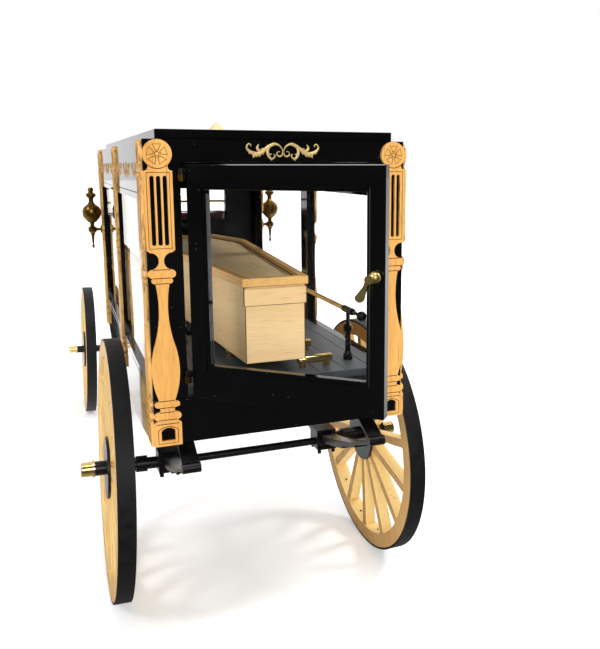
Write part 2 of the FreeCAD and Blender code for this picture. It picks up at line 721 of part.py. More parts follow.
def make_door():
    """The glazed rear door, standing open on its lift-off hinges."""
    pin_x = -doorway_hinge
    pin_y = S.tail_y - S.pin_out
    foot_z = sill_z + S.door_gap
    wide = doorway_hinge + doorway_free - S.door_gap
    high = S.doorway_high - 2 * S.door_gap
    swing = Rotation(Vector(0, 0, -1), S.door_open.value)

    def hang(obj):
        """Sets a piece that is drawn with the door shut and the pin at the origin."""
        place(obj, (pin_x, pin_y, foot_z), swing)
        obj.setExpression("Placement.Rotation.Angle", S.door_open.text)
        return obj

    near, far = S.hinge_gap, wide
    glass = (near + S.stile_hinge, far - S.stile_free, S.door_rail_low, high - S.door_rail_top)
    body = add("PartDesign::Body", "door_boards")
    outline = new_sketch(body, "XZ_Plane", -S.pin_out)
    draw_loop(outline, rectangle(near, far, 0, high))
    draw_loop(outline, rectangle(*glass))
    pad(body, outline, S.door_thick, backwards=True)
    step = new_sketch(body, "XZ_Plane", -S.pin_out)
    draw_loop(step, rectangle(glass[0] - S.bead_wide, glass[1] + S.bead_wide,
                              glass[2] - S.bead_wide, glass[3] + S.bead_wide))
    pocket(body, step, 0.8)
    hang(body)
    subpart(body, "door_frame")
    middle = S.pin_out + (S.door_thick - S.glass_thick) / 2
    pane = plate("door_pane", "XZ_Plane", (0, 0, 0), [(rectangle(*glass),)], S.glass_thick)
    pane.Group[0].AttachmentOffset = FreeCAD.Placement(Vector(0, 0, -middle.value), Rotation())
    pane.Group[0].setExpression("AttachmentOffset.Base.z", (-middle).text)
    hang(pane)
    subpart(pane, "door_glass")

    moving = []
    fixed = []
    for number, low in enumerate((S.hinge_low, S.hinge_up)):
        sleeve = rod(f"sleeve_{number}", S.knuckle_radius, S.knuckle_high, (0, 0, low), "z")
        bore = rod(f"sleeve_bore_{number}", S.pin_radius + S.pin_fit, S.knuckle_high, (0, 0, low), "z")
        leaf = box(f"leaf_{number}", (S.pin_radius + 0.2, near + 0.6),
                   (0, S.pin_out), (low, low + S.knuckle_high))
        moving.append(cut(f"hinge_{number}", fuse(f"sleeve_leaf_{number}", [sleeve, leaf]), [bore]))
        top = foot_z + low - 0.1
        bottom = top - S.knuckle_high
        socket = rod(f"pintle_{number}", S.knuckle_radius, S.knuckle_high, (pin_x, pin_y, bottom), "z")
        pin = rod(f"pin_{number}", S.pin_radius, 2 * S.knuckle_high - 0.3, (pin_x, pin_y, bottom), "z")
        arm = box(f"pintle_arm_{number}", (pin_x - 1.2, pin_x - 0.1), (pin_y, back_y), (bottom, top))
        fixed.append(fuse(f"pintle_body_{number}", [socket, pin, arm]))
    subpart(hang(group("hinge_pair", moving)), "door_hinges")
    subpart(group("pintle_pair", fixed), "door_pintles")

    x = far - S.handle_inset
    rose = rod("rose", S.knob_radius * 0.7, 0.6, (x, S.pin_out, S.handle_z), "-y")
    knob = ball("knob", S.knob_radius, (x, S.pin_out - S.knob_radius, S.handle_z))
    lever_y = S.pin_out - S.knob_radius - 2
    boss_x = x - S.knob_radius * 0.6
    boss = rod("lever_boss", 1.45, 1.6, (boss_x, lever_y + 1.2, S.handle_z - 0.5), "-y")
    blade = plate("paddle", "XZ_Plane", (boss_x, lever_y - 0.2, S.handle_z - 0.5), [
        ([(-1.5, -0.9), (-0.2, -1.3), (-0.75, -2.7), (-1.7, -6.7), (-4.7, -5.7), (-1.9, -2.2)],
         {3: -1.3}),
    ], 1)
    subpart(hang(fuse("handle_out", [rose, knob, boss, blade])), "door_handle")
    inner = S.pin_out + S.door_thick
    spindle_in = rod("spindle_in", 1.0, 2.4, (x, inner, S.handle_z), "y")
    lever = box("lever", (x - 1.2, x + 1.2), (inner + 1.6, inner + 3.2),
                (S.handle_z - 6, S.handle_z + 2))
    subpart(hang(fuse("handle_in", [spindle_in, lever])), "door_latch")


def make_coffin():
    """The six-sided coffin and its lid, the brass rollers under it and the side rails."""
    roller_z = deck_z + S.roller_lift + S.roller_radius
    rollers = []
    for number in range(int(S.roller_count.value)):
        y = S.tail_y + S.roller_first + roller_pitch * number
        bar = rod(f"roller_{number}", S.roller_radius, 2 * S.roller_half,
                  (-S.roller_half, y, roller_z), "x")
        feet = []
        for side, sign in SIDES:
            x = side_x(sign, S.roller_half - 1, 2)
            feet.append(box(f"roller_foot_{side}_{number}", (x, x + 2),
                            (y - 1.2, y + 1.2), (deck_z, roller_z)))
        rollers.append(fuse(f"roller_set_{number}", [bar] + feet))
    subpart(group("roller_row", rollers), "rollers")

    base_z = roller_z + S.roller_radius
    foot_y = S.tail_y + S.coffin_foot_y

    def six_sides(grow):
        return [
            (-(S.foot_half + grow), -grow),
            (S.foot_half + grow, -grow),
            (S.shoulder_half + grow, coffin_shoulder),
            (S.head_half + grow, coffin_long + grow),
            (-(S.head_half + grow), coffin_long + grow),
            (-(S.shoulder_half + grow), coffin_shoulder),
        ]

    chest = plate("chest", "XY_Plane", (0, foot_y, base_z), [(six_sides(Size(0)),)], S.coffin_high)
    band_top = base_z + S.coffin_high - 1
    band = box("foot_band", (-S.foot_half - 0.4, S.foot_half + 0.4),
               (foot_y - S.band_thick, foot_y + 1), (band_top - S.band_high, band_top))
    subpart(fuse("chest_band", [chest, band]), "coffin")
    lid_z = base_z + S.coffin_high
    board = plate("lid_board", "XY_Plane", (0, foot_y, lid_z), [(six_sides(S.lid_over),)], S.lid_high)
    sunk = plate("lid_sunk", "XY_Plane", (0, foot_y, lid_z + S.lid_high - S.lid_sink),
                 [(six_sides(S.lid_over - S.lid_rim),)], S.lid_sink + 1)
    subpart(cut("lid", board, [sunk]), "coffin_lid")

    rail_z = deck_z + S.rail_z
    rods = []
    posts = []
    knob_y = S.tail_y + S.rail_tail
    rail_start = knob_y + S.rail_neck + 2
    sleeve_end = S.rail_neck + S.sleeve_long
    outline = [
        (0, 0), (2, 0), (2, 2), (S.stanchion_radius, 5.3), (S.stanchion_radius, 11.8),
        (1.9, 12.9), (1.9, 14.5), (0.85, 15.4),
        (0.85, S.rail_z - S.rail_radius), (0, S.rail_z - S.rail_radius),
    ]
    for side, sign in SIDES:
        x = rail_x * sign
        rods.append(rod(f"rail_{side}", S.rail_radius, front_wall_y - rail_start,
                        (x, rail_start, rail_z), "y"))
        for number in range(3):
            y = S.tail_y + S.stanchion_first + stanchion_pitch * number
            column = turned(f"column_{side}_{number}", (x, y, deck_z), "z", outline,
                            {2: -0.35, 4: 0.15})
            if number == 0:
                sleeve = turned(f"rail_end_{side}", (x, knob_y, rail_z), "y", [
                    (0, -2), (0.5, -2), (0.75, 1.9), (0.75, S.rail_neck - 0.5),
                    (S.sleeve_radius, S.rail_neck), (S.sleeve_radius, sleeve_end),
                    (0, sleeve_end),
                ], {1: 1.45})
            else:
                sleeve = rod(f"sleeve_{side}_{number}", S.sleeve_radius, S.sleeve_long / 2,
                             (x, y - S.sleeve_long / 4, rail_z), "y")
            hole = rod(f"sleeve_hole_{side}_{number}", S.rail_radius, front_wall_y - rail_start,
                       (x, rail_start, rail_z), "y")
            posts.append(cut(f"stanchion_{side}_{number}",
                             fuse(f"column_sleeve_{side}_{number}", [column, sleeve]), [hole]))
    subpart(group("rail_pair", rods), "coffin_rails")
    subpart(group("stanchion_set", posts), "rail_stanchions")


def make_driver_box():
    """The boot under the driver, its footboard, cushions and brass rail."""
    seat_z = S.body_base + S.seat_z
    floor = S.boot_base + S.boot_floor
    toe_y = S.boot_long + S.toe_run
    toe_z = S.boot_base + S.toe_rise
    side = [
        (0, S.boot_base),
        (S.boot_long, S.boot_base),
        (toe_y, toe_z),
        (toe_y - 3, toe_z + 3),
        (S.boot_long - 4, floor),
        (S.seat_long + 16, floor),
        (S.seat_long, S.seat_z),
        (S.back_board, S.seat_z),
        (S.back_board, S.seat_z + S.back_board_high),
        (0, S.seat_z + S.back_board_high),
    ]
    boot = plate("boot_body", "YZ_Plane", (-S.boot_half, nose_y, S.body_base),
                 [(side, {1: 2.0, 5: -4.0})], 2 * S.boot_half)
    subpart(boot, "boot")
    board = plate("toe_plate", "YZ_Plane",
                  (-S.boot_half, nose_y + toe_y, S.body_base + toe_z),
                  [([(0, 0), (S.footboard_run, S.footboard_rise),
                     (S.footboard_run - 2, S.footboard_rise + 1.5), (-3, 3)], {})], 2 * S.boot_half)
    subpart(board, "footboard")
    across = (-S.seat_half, S.seat_half)
    back_y0 = nose_y + S.back_board
    back = box("back_pad", across, (back_y0, back_y0 + S.back_thick), (seat_z, seat_z + S.back_high))
    subpart(back, "seat_back")
    cushion = box("seat_pad", across, (back_y0 + S.back_thick + 0.3, nose_y + S.seat_long),
                  (seat_z, seat_z + S.cushion_high))
    subpart(cushion, "seat_cushion")
    rail_y = nose_y + S.back_board + 1.5
    bend = S.seat_rail_bend
    top = seat_z + S.seat_rail_high
    pieces = [rod("seat_rail_top", S.seat_rail_radius, 2 * (S.seat_rail_x - bend),
                  (bend - S.seat_rail_x, rail_y, top), "x")]
    for name, sign in SIDES:
        x = S.seat_rail_x * sign
        pieces.append(rod(f"seat_rail_leg_{name}", S.seat_rail_radius, S.seat_rail_high - bend,
                          (x, rail_y, seat_z), "z"))
        corner = add("Part::Torus", f"seat_rail_corner_{name}")
        bind(corner, "Radius1", bend)
        bind(corner, "Radius2", S.seat_rail_radius)
        corner.Angle3 = 90
        start = 0 if sign > 0 else 90
        turn = Rotation(Vector(1, 0, 0), 90).multiply(Rotation(Vector(0, 0, 1), start))
        place(corner, (x - bend * sign, rail_y, top - bend), turn)
        pieces.append(corner)
    subpart(fuse("seat_rail_bar", pieces), "seat_rail")


def make_lamps():
    """A brass carriage lamp on each front side pilaster."""
    lamps = []
    foot = S.body_base + S.lamp_z
    y = nose_y - S.plate_half
    for side, sign in SIDES:
        x = (S.body_half + S.plate_thick + S.lamp_out) * sign
        shell = turned(f"lamp_shell_{side}", (x, y, foot), "z", [
            (0, -21.8), (0.5, -21.8), (0.9, -21), (0.5, -19.4), (0.9, -14.5), (1.5, -12.6),
            (2.5, -11.6), (2.5, -9.4), (1.2, -8.4), (1.3, -6.6), (2.6, -5.8), (4.5, -3.6),
            (4.5, 3), (2.4, 4.6), (1.4, 6), (1.4, 8.2), (2.9, 9.6), (2.9, 10.8), (1.3, 12),
            (1.8, 13.4), (1.2, 14.8), (0, 14.8),
        ], {11: S.lamp_radius - 4.5})
        start = (S.body_half + S.plate_thick) * sign
        arm = rod(f"lamp_arm_{side}", 0.9, S.lamp_out, (start, y, foot - 10.5), "x" if sign > 0 else "-x")
        rosette = rod(f"lamp_rose_{side}", 2.2, 0.8, (start, y, foot - 10.5), "x" if sign > 0 else "-x")
        lamps.append(fuse(f"lamp_{side}", [shell, arm, rosette]))
    subpart(group("lamp_pair", lamps), "lamps")


def canted(obj, at, sign):
    """Puts a piece drawn about +Z on a wheel's leaning axis, its outer end up and outward."""
    place(obj, at, Rotation(Vector(0, sign, 0), 90 - S.camber.value))
    obj.setExpression("Placement.Rotation.Angle", (90 - S.camber).text)
    return obj


def make_wheel(name, sign, at, radius, spokes, barrel, cap_radius):
    """One wheel: wooden felloe and spokes, tyre, round-plated hub and brass cap.

    Each piece is drawn about +Z with the wheel's middle plane at zero and its outside up.
    """
    rim = radius - S.tyre_thick
    bore = rim - S.felloe_deep
    half = S.tyre_wide / 2
    tyre = turned(f"tyre_ring_{name}", at, "z",
                  [(rim, -half), (radius, -half), (radius, half), (rim, half)])
    subpart(canted(tyre, at, sign), f"tyre_{name}")

    body = add("PartDesign::Body", f"wood_{name}")
    ring = new_sketch(body, "XZ_Plane")
    draw_loop(ring, [(bore, -half), (rim, -half), (rim, half), (bore, half)])
    felloe = body.newObject("PartDesign::Revolution", f"felloe_{name}")
    felloe.Profile = ring
    felloe.ReferenceAxis = (ring, ["V_Axis"])
    felloe.Angle = 360
    nave = new_sketch(body, "XY_Plane", -S.spoke_thick / 2)
    draw_circle(nave, 0, 0, S.flange_radius - 2)
    draw_circle(nave, 0, 0, barrel)
    spoke = new_sketch(body, "XY_Plane", -S.spoke_thick / 2)
    draw_loop(spoke, [(S.flange_radius - 4, -S.spoke_wide * 0.4), (bore + 1, -S.spoke_wide / 2),
                      (bore + 1, S.spoke_wide / 2), (S.flange_radius - 4, S.spoke_wide * 0.4)])
    first = pad(body, spoke, S.spoke_thick)
    ring_of = body.newObject("PartDesign::PolarPattern", f"spokes_{name}")
    ring_of.Originals = [first]
    ring_of.Axis = (spoke, ["N_Axis"])
    ring_of.Angle = 360
    bind(ring_of, "Occurrences", spokes)
    body.Tip = ring_of
    middle = pad(body, nave, S.spoke_thick)
    body.Tip = middle
    subpart(canted(body, at, sign), f"wheel_{name}")

    face = S.spoke_thick / 2
    plate_top = face + S.flange_thick
    hole = S.arm_radius + S.pin_fit
    hub = turned(f"hub_body_{name}", at, "z", [
        (hole, -S.barrel_in),
        (barrel, -S.barrel_in),
        (barrel, -plate_top),
        (S.flange_radius, -plate_top),
        (S.flange_radius, -face),
        (barrel, -face),
        (barrel, face),
        (S.flange_radius, face),
        (S.flange_radius, plate_top),
        (barrel, plate_top),
        (barrel, S.barrel_out),
        (hole, S.barrel_out),
    ])
    subpart(canted(hub, at, sign), f"hub_{name}")
    end = S.barrel_out + S.cap_long
    brim = cap_radius + S.cap_brim
    cap = turned(f"cap_body_{name}", at, "z", [
        (hole, S.barrel_out),
        (brim, S.barrel_out),
        (brim, S.barrel_out + 0.9),
        (cap_radius, S.barrel_out + 0.9),
        (cap_radius, end - 0.4),
        (cap_radius - 0.4, end),
        (0, end),
        (0, end - S.cap_end),
        (hole, end - S.cap_end),
    ])
    subpart(canted(cap, at, sign), f"hub_cap_{name}")


def make_axle(name, y, wheel_z, track):
    """A straight bar between the springs, and canted stubs whose arms run in the hubs."""
    clamp_face = spring_x + S.leaf_wide / 2 + S.clamp_over
    bar_end = clamp_face + S.stub_gap + 1
    pieces = [rod(f"{name}_bar", S.axle_radius, 2 * bar_end,
                  (-bar_end, y, wheel_z - S.axle_drop), "x")]
    start = (clamp_face + S.stub_gap - track) / S.camber.cosine()
    shoulder = -(S.barrel_in + S.hub_gap)
    ledge = shoulder - S.collar_long
    end = S.barrel_out + S.cap_long - S.cap_end - S.arm_gap
    for side, sign in SIDES:
        at = (track * sign, y, wheel_z)
        stub = turned(f"{name}_stub_{side}", at, "z", [
            (0, start),
            (S.stub_radius, start),
            (S.stub_radius, ledge),
            (S.collar_radius, ledge),
            (S.collar_radius, shoulder),
            (S.arm_radius, shoulder),
            (S.arm_radius, end),
            (0, end),
        ])
        pieces.append(canted(stub, at, sign))
    subpart(fuse(f"{name}_bars", pieces), name)


def spring(name, x, y, bar_z, half_long, low_sag, up_sag):
    """A full elliptic spring on an axle bar: bowed packs of stepped leaves, eyes and the clamp."""
    pack = S.leaf_pitch * (S.leaf_count - 1) + S.leaf_thick
    pack_low = bar_z + S.axle_radius
    middle_z = pack_low + pack + low_sag
    arm = half_long - S.leaf_flat
    pieces = []
    for half, flip, sag in (("low", -1, low_sag), ("up", 1, up_sag)):
        for leaf in range(int(S.leaf_count.value)):
            share = 1 - 0.26 * leaf
            depth = S.leaf_pitch * leaf
            reach = S.leaf_flat + arm * share
            tip = (sag * (1 - share) + S.leaf_bend * (4 * share * (1 - share)) + depth) * flip
            low = (sag + depth) * flip
            thick = S.leaf_thick * flip
            bow = S.leaf_bend * (share * share * -flip)
            points = [(-reach, tip), (-S.leaf_flat, low), (S.leaf_flat, low), (reach, tip),
                      (reach, tip + thick), (S.leaf_flat, low + thick),
                      (-S.leaf_flat, low + thick), (-reach, tip + thick)]
            pieces.append(plate(f"{name}_{half}_{leaf}", "YZ_Plane",
                                (x - S.leaf_wide / 2, y, middle_z),
                                [(points, {0: bow, 2: bow, 4: -bow, 6: -bow})], S.leaf_wide))
    eye_wide = S.leaf_wide + S.eye_over * 2
    for end, sign in (("rear", -1), ("front", 1)):
        pieces.append(rod(f"{name}_eye_{end}", S.eye_radius, eye_wide,
                          (x - eye_wide / 2, y + half_long * sign, middle_z), "x"))
    wide = S.leaf_wide / 2 + S.clamp_over
    foot_z = bar_z - S.axle_radius
    clamp = box(f"{name}_clamp", (x - wide, x + wide), (y - S.clamp_long / 2, y + S.clamp_long / 2),
                (foot_z, pack_low + pack + S.clamp_top))
    foot_half = S.clamp_long / 2 + S.foot_over
    foot = box(f"{name}_foot", (x - wide, x + wide), (y - foot_half, y + foot_half),
               (foot_z - S.clamp_foot, foot_z))
    hole = rod(f"{name}_clamp_hole", S.axle_radius, 2 * wide, (x - wide, y, bar_z), "x")
    tips = []
    for number, (dx, dy) in enumerate(((-1, -1), (1, -1), (-1, 1), (1, 1))):
        tips.append(rod(f"{name}_tip_{number}", S.bolt_radius, S.bolt_long + 0.4,
                        (x + (wide - S.bolt_inset) * dx, y + (foot_half - S.bolt_inset) * dy,
                         foot_z - S.clamp_foot - S.bolt_long), "z"))
    whole = fuse(f"{name}_whole", pieces + [clamp, foot] + tips)
    return cut(f"{name}_cut", whole, [hole])


def make_running_gear():
    """Rear axle and springs, and the fore-carriage that turns on the kingpin."""
    rear_y = S.tail_y + S.rear_axle_y
    front_y = nose_y + S.front_axle_y
    lean = S.tyre_wide / 2 * S.camber.sine()
    rear_z = S.rear_radius * S.camber.cosine() + lean
    front_z = S.front_radius * S.camber.cosine() + lean
    make_axle("rear_axle", rear_y, rear_z, rear_track)
    make_axle("front_axle", front_y, front_z, front_track)
    pack = S.leaf_pitch * (S.leaf_count - 1) + S.leaf_thick
    deck_low = deck_z - S.deck_thick
    rear_bar = rear_z - S.axle_drop
    front_bar = front_z - S.axle_drop
    low_sag = S.rear_eye_z - rear_bar - S.axle_radius - pack
    up_sag = deck_low - S.spring_pad - pack - S.rear_eye_z
    front_top = front_bar + S.axle_radius + S.front_sag * 2 + pack * 2
    for end, y, bar_z, half_long, low, up in (
            ("rear", rear_y, rear_bar, S.rear_spring_half, low_sag, up_sag),
            ("front", front_y, front_bar, S.front_spring_half, S.front_sag, S.front_sag)):
        pair = [spring(f"{end}_spring_{side}", spring_x * sign, y, bar_z, half_long, low, up)
                for side, sign in SIDES]
        subpart(group(f"{end}_spring_pair", pair), f"{end}_springs")
    pads = []
    for side, sign in SIDES:
        x = side_x(sign, spring_x + S.leaf_wide / 2, S.leaf_wide)
        pads.append(box(f"spring_pad_{side}", (x, x + S.leaf_wide),
                        (rear_y - S.clamp_long / 2, rear_y + S.clamp_long / 2),
                        (deck_low - S.spring_pad, deck_low)))
    subpart(group("spring_pads", pads), "spring_blocks")

    bolster_z = front_top + S.bolster_high
    bolster_half = spring_x + S.leaf_wide / 2
    bolster = box("lower_bolster", (-bolster_half, bolster_half),
                  (front_y - S.bed_long / 2, front_y + S.bed_long / 2), (front_top, bolster_z))
    arms = []
    end_y = front_y + S.futchell_front
    for side, sign in SIDES:
        x = S.futchell_x * sign
        arms.append(box(f"futchell_{side}", (x - S.futchell_wide / 2, x + S.futchell_wide / 2),
                        (front_y - S.futchell_back, end_y), (front_top, bolster_z)))
    gap = S.futchell_x - S.futchell_wide / 2
    tie = box("futchell_tie", (-gap, gap), (front_y - S.futchell_back, front_y - S.futchell_back + 4),
              (front_top, bolster_z))
    socket_outer = S.socket_half + S.socket_wall
    socket_z = (front_top + bolster_z) / 2
    socket_y = (end_y - S.socket_long, end_y)
    socket = box("socket_box", (-gap, gap), socket_y, (socket_z - socket_outer, socket_z + socket_outer))
    socket_hole = box("socket_hole", (-S.socket_half, S.socket_half),
                      (end_y - S.socket_long + 2, end_y + 1),
                      (socket_z - S.socket_half, socket_z + S.socket_half))
    pin_hole = rod("kingpin_hole", S.kingpin_radius + S.pin_fit, 40, (0, front_y, front_top - 20), "z")
    frame = fuse("fore_frame_bars", [bolster, tie, socket] + arms)
    subpart(cut("fore_frame_cut", frame, [socket_hole, pin_hole]), "fore_frame")

    bar_y = end_y + S.splinter_radius
    bar_z = bolster_z + S.splinter_lift + S.splinter_radius
    knobs = [(S.splinter_half - S.splinter_stub) * share for share in (-1, -0.4, 0.4, 1)]
    outline = [(0, -S.splinter_half), (S.splinter_radius, -S.splinter_half)]
    swells = {}
    for height in knobs:
        swells[len(outline)] = Size(0.9)
        outline += [(S.splinter_radius, height - 2.4), (S.splinter_radius, height + 2.4)]
    outline += [(S.splinter_radius, S.splinter_half), (0, S.splinter_half)]
    bar = turned("splinter_rod", (0, bar_y, bar_z), "x", outline, swells)
    saddle = []
    for side, sign in SIDES:
        x = S.futchell_x * sign
        saddle.append(box(f"saddle_{side}", (x - S.futchell_wide / 2, x + S.futchell_wide / 2),
                          (end_y - 4, bar_y), (bolster_z, bolster_z + S.splinter_lift + 1)))
    subpart(fuse("splinter", [bar] + saddle), "splinter_bar")

    def ring(name, low):
        outer = rod(f"{name}_outer", S.ring_radius, S.ring_thick, (0, front_y, low), "z")
        inner = rod(f"{name}_inner", S.ring_radius - S.ring_wide, S.ring_thick, (0, front_y, low), "z")
        return cut(f"{name}_ring", outer, [inner])

    subpart(ring("lower", bolster_z), "turntable_lower")
    upper_z = bolster_z + S.ring_thick + S.ring_gap
    bed_low = upper_z
    boot_low = S.body_base + S.boot_base
    bed = box("upper_bolster", (-S.ring_radius, S.ring_radius),
              (front_y - S.bed_long / 2, front_y + S.bed_long / 2), (bed_low, boot_low))
    kingpin = rod("kingpin", S.kingpin_radius, boot_low - front_top + 3,
                  (0, front_y, front_top - 3), "z")
    ring_top = bed_low + S.ring_thick
    beams = []
    for number, sign in SIDES:
        x = S.futchell_x * sign
        beams.append(box(f"boot_beam_{number}", (x - 2, x + 2), (front_y - S.ring_radius, front_y + 16),
                         (ring_top, boot_low)))
    subpart(fuse("upper_set", [ring("upper", bed_low), bed, kingpin] + beams), "turntable_upper")

    for end, y, z, track, radius, spokes, barrel, cap in (
            ("rear", rear_y, rear_z, rear_track, S.rear_radius, S.rear_spokes,
             S.barrel_radius, S.cap_radius),
            ("front", front_y, front_z, front_track, S.front_radius, S.front_spokes,
             S.front_barrel, S.front_cap)):
        for side, sign in SIDES:
            make_wheel(f"{end}_{side}", sign, (track * sign, y, z), radius, spokes, barrel, cap)


make_lower_body()
make_upper_body()
make_pilasters()
make_door()
make_coffin()
make_driver_box()
make_lamps()
make_running_gear()
doc.recompute()

faults = []
for item in doc.Objects:
    if "Invalid" in item.State or "Error" in item.State:
        faults.append(f"{item.Name} ({item.Label}): {item.State}")
for piece in subparts:
    shape = piece.Shape
    if shape.isNull() or not shape.isValid():
        faults.append(f"{piece.Label}: no valid shape")
    elif shape.Volume <= 0:
        faults.append(f"{piece.Label}: no volume")
if faults:
    raise RuntimeError("; ".join(faults))

os.makedirs("parts", exist_ok=True)
whole = FreeCAD.BoundBox()
for piece in subparts:
    piece.Shape.exportStep(f"parts/{piece.Label}.step")
    whole.add(piece.Shape.BoundBox)
print(f"{len(subparts)} sub-parts, {whole.XLength:.1f} x {whole.YLength:.1f} x {whole.ZLength:.1f} mm,"
      f" centre y {(whole.YMin + whole.YMax) / 2:.2f}, x {(whole.XMin + whole.XMax) / 2:.2f},"
      f" lowest {whole.ZMin:.3f}")
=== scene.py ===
"""Finishes and fine fittings of the horse-drawn hearse, laid over its solids."""
import json
import math

import bmesh
import bpy
from mathutils import Matrix, Vector


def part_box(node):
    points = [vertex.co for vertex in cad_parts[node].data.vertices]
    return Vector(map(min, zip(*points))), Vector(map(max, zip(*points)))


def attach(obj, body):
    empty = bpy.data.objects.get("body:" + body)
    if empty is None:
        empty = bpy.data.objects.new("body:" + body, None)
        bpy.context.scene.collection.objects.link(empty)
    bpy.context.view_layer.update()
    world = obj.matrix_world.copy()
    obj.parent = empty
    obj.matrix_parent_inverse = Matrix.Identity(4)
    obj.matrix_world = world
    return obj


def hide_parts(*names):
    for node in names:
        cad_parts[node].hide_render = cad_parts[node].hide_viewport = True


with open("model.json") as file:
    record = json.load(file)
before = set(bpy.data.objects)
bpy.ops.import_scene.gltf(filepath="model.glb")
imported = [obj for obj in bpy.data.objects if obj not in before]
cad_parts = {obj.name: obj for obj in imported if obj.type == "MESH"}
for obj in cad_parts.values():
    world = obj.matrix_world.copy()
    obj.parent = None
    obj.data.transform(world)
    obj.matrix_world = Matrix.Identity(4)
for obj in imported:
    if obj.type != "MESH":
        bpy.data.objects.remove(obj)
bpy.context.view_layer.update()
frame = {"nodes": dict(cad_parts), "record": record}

nodes = frame["nodes"]
record = frame["record"]

# The studio: a white paper floor that runs far past the model, white surroundings that dim
# behind the camera for whatever mirrors them, and four soft lamps. The eye stands close
# behind the tail.


def start_finish(name):
    """A new finish: the material, its node tree, its surface shader and object coordinates."""
    finish = bpy.data.materials.new(name)
    finish.use_nodes = True
    tree = finish.node_tree
    place = tree.nodes.new("ShaderNodeTexCoord")
    return finish, tree, tree.nodes["Principled BSDF"], place


def add_node(tree, kind, settings=None, **feeds):
    """A node with its settings and its inputs, each a value or another node's output.

    An input goes by its name, or by its number as i0, i1 and so on.
    """
    node = tree.nodes.new(kind)
    for key, value in (settings or {}).items():
        setattr(node, key, value)
    for key, value in feeds.items():
        numbered = key[0] == "i" and key[1:].isdigit()
        socket = node.inputs[int(key[1:]) if numbered else key]
        if isinstance(value, bpy.types.NodeSocket):
            tree.links.new(value, socket)
        else:
            socket.default_value = value
    return node


def figure(tree, operation, first, second=0.0):
    """One step of arithmetic on two values."""
    node = add_node(tree, "ShaderNodeMath", {"operation": operation}, i0=first, i1=second)
    return node.outputs[0]


def blend(tree, share, first, second):
    """A colour between two others."""
    node = add_node(tree, "ShaderNodeMix", {"data_type": "RGBA"}, i0=share, i6=first, i7=second)
    return node.outputs[2]


def spread(tree, value, low, high, to_low, to_high):
    """A value carried from one range to another and held inside it."""
    node = add_node(tree, "ShaderNodeMapRange", {"clamp": True},
                    i0=value, i1=low, i2=high, i3=to_low, i4=to_high)
    return node.outputs[0]


def speckle(tree, place, scale, detail=3.0, rough=0.5, warp=0.0):
    """Soft random patches, from 0 to 1."""
    node = add_node(tree, "ShaderNodeTexNoise", Vector=place, Scale=scale, Detail=detail,
                    Roughness=rough, Distortion=warp)
    return node.outputs["Fac"]


def colour(red, green, blue):
    """A display colour from 0 to 255, as the linear value that the shaders take."""
    linear = []
    for channel in (red, green, blue):
        share = channel / 255
        linear.append(share / 12.92 if share <= 0.04045 else ((share + 0.055) / 1.055) ** 2.4)
    return (*linear, 1.0)


def put(name, data):
    """A new object in the scene."""
    holder = bpy.data.objects.new(name, data)
    bpy.context.scene.collection.objects.link(holder)
    return holder


def mesh_piece(name, vertices, faces, finish=None, edges=()):
    """A new object made of points, faces and lone edges."""
    mesh = bpy.data.meshes.new(name)
    mesh.from_pydata(vertices, list(edges), faces)
    mesh.validate()
    if finish:
        mesh.materials.append(finish)
    return put(name, mesh)


paper, tree, shader, place = start_finish("floor_paper")
cloud = speckle(tree, place.outputs["Object"], 9.0)
shader.inputs["Roughness"].default_value = 0.9
shader.inputs["Specular IOR Level"].default_value = 0.1
paper_tone = blend(tree, cloud, colour(250, 250, 250), colour(255, 255, 255))
tree.links.new(paper_tone, shader.inputs["Base Color"])

# The eye sees the paper glow more the farther it lies from the model. What mirrors the
# paper sees it glow ahead of the model, and a dark card behind it.
rays = tree.nodes.new("ShaderNodeLightPath").outputs
direct = figure(tree, "MAXIMUM", rays["Is Camera Ray"], rays["Is Transmission Ray"])
along = add_node(tree, "ShaderNodeSeparateXYZ", i0=place.outputs["Object"]).outputs["Y"]
away = add_node(tree, "ShaderNodeVectorMath", {"operation": "LENGTH"},
                i0=place.outputs["Object"]).outputs["Value"]
direct_glow = figure(tree, "MULTIPLY", direct, spread(tree, away, 0.3, 1.0, 0.33, 0.9))
mirrored_glow = figure(tree, "MULTIPLY", rays["Is Glossy Ray"],
                       spread(tree, along, -0.1, 0.5, 0.0, 0.8))
glow = add_node(tree, "ShaderNodeEmission", Color=(1.0, 1.0, 1.0, 1.0),
                Strength=figure(tree, "ADD", direct_glow, mirrored_glow))
lit = add_node(tree, "ShaderNodeAddShader", i0=shader.outputs[0], i1=glow.outputs[0])
card = add_node(tree, "ShaderNodeEmission", Strength=0.0)
card_share = figure(tree, "MULTIPLY", rays["Is Glossy Ray"],
                    spread(tree, along, -0.2, 0.0, 0.93, 0.0))
surface = add_node(tree, "ShaderNodeMixShader", i0=card_share, i1=lit.outputs[0],
                   i2=card.outputs[0])
tree.links.new(surface.outputs[0], tree.nodes["Material Output"].inputs["Surface"])

reach = 9.0
floor = mesh_piece("floor", [(-reach, -reach, 0), (reach, -reach, 0), (reach, reach, 0),
                             (-reach, reach, 0)], [(0, 1, 2, 3)], paper)

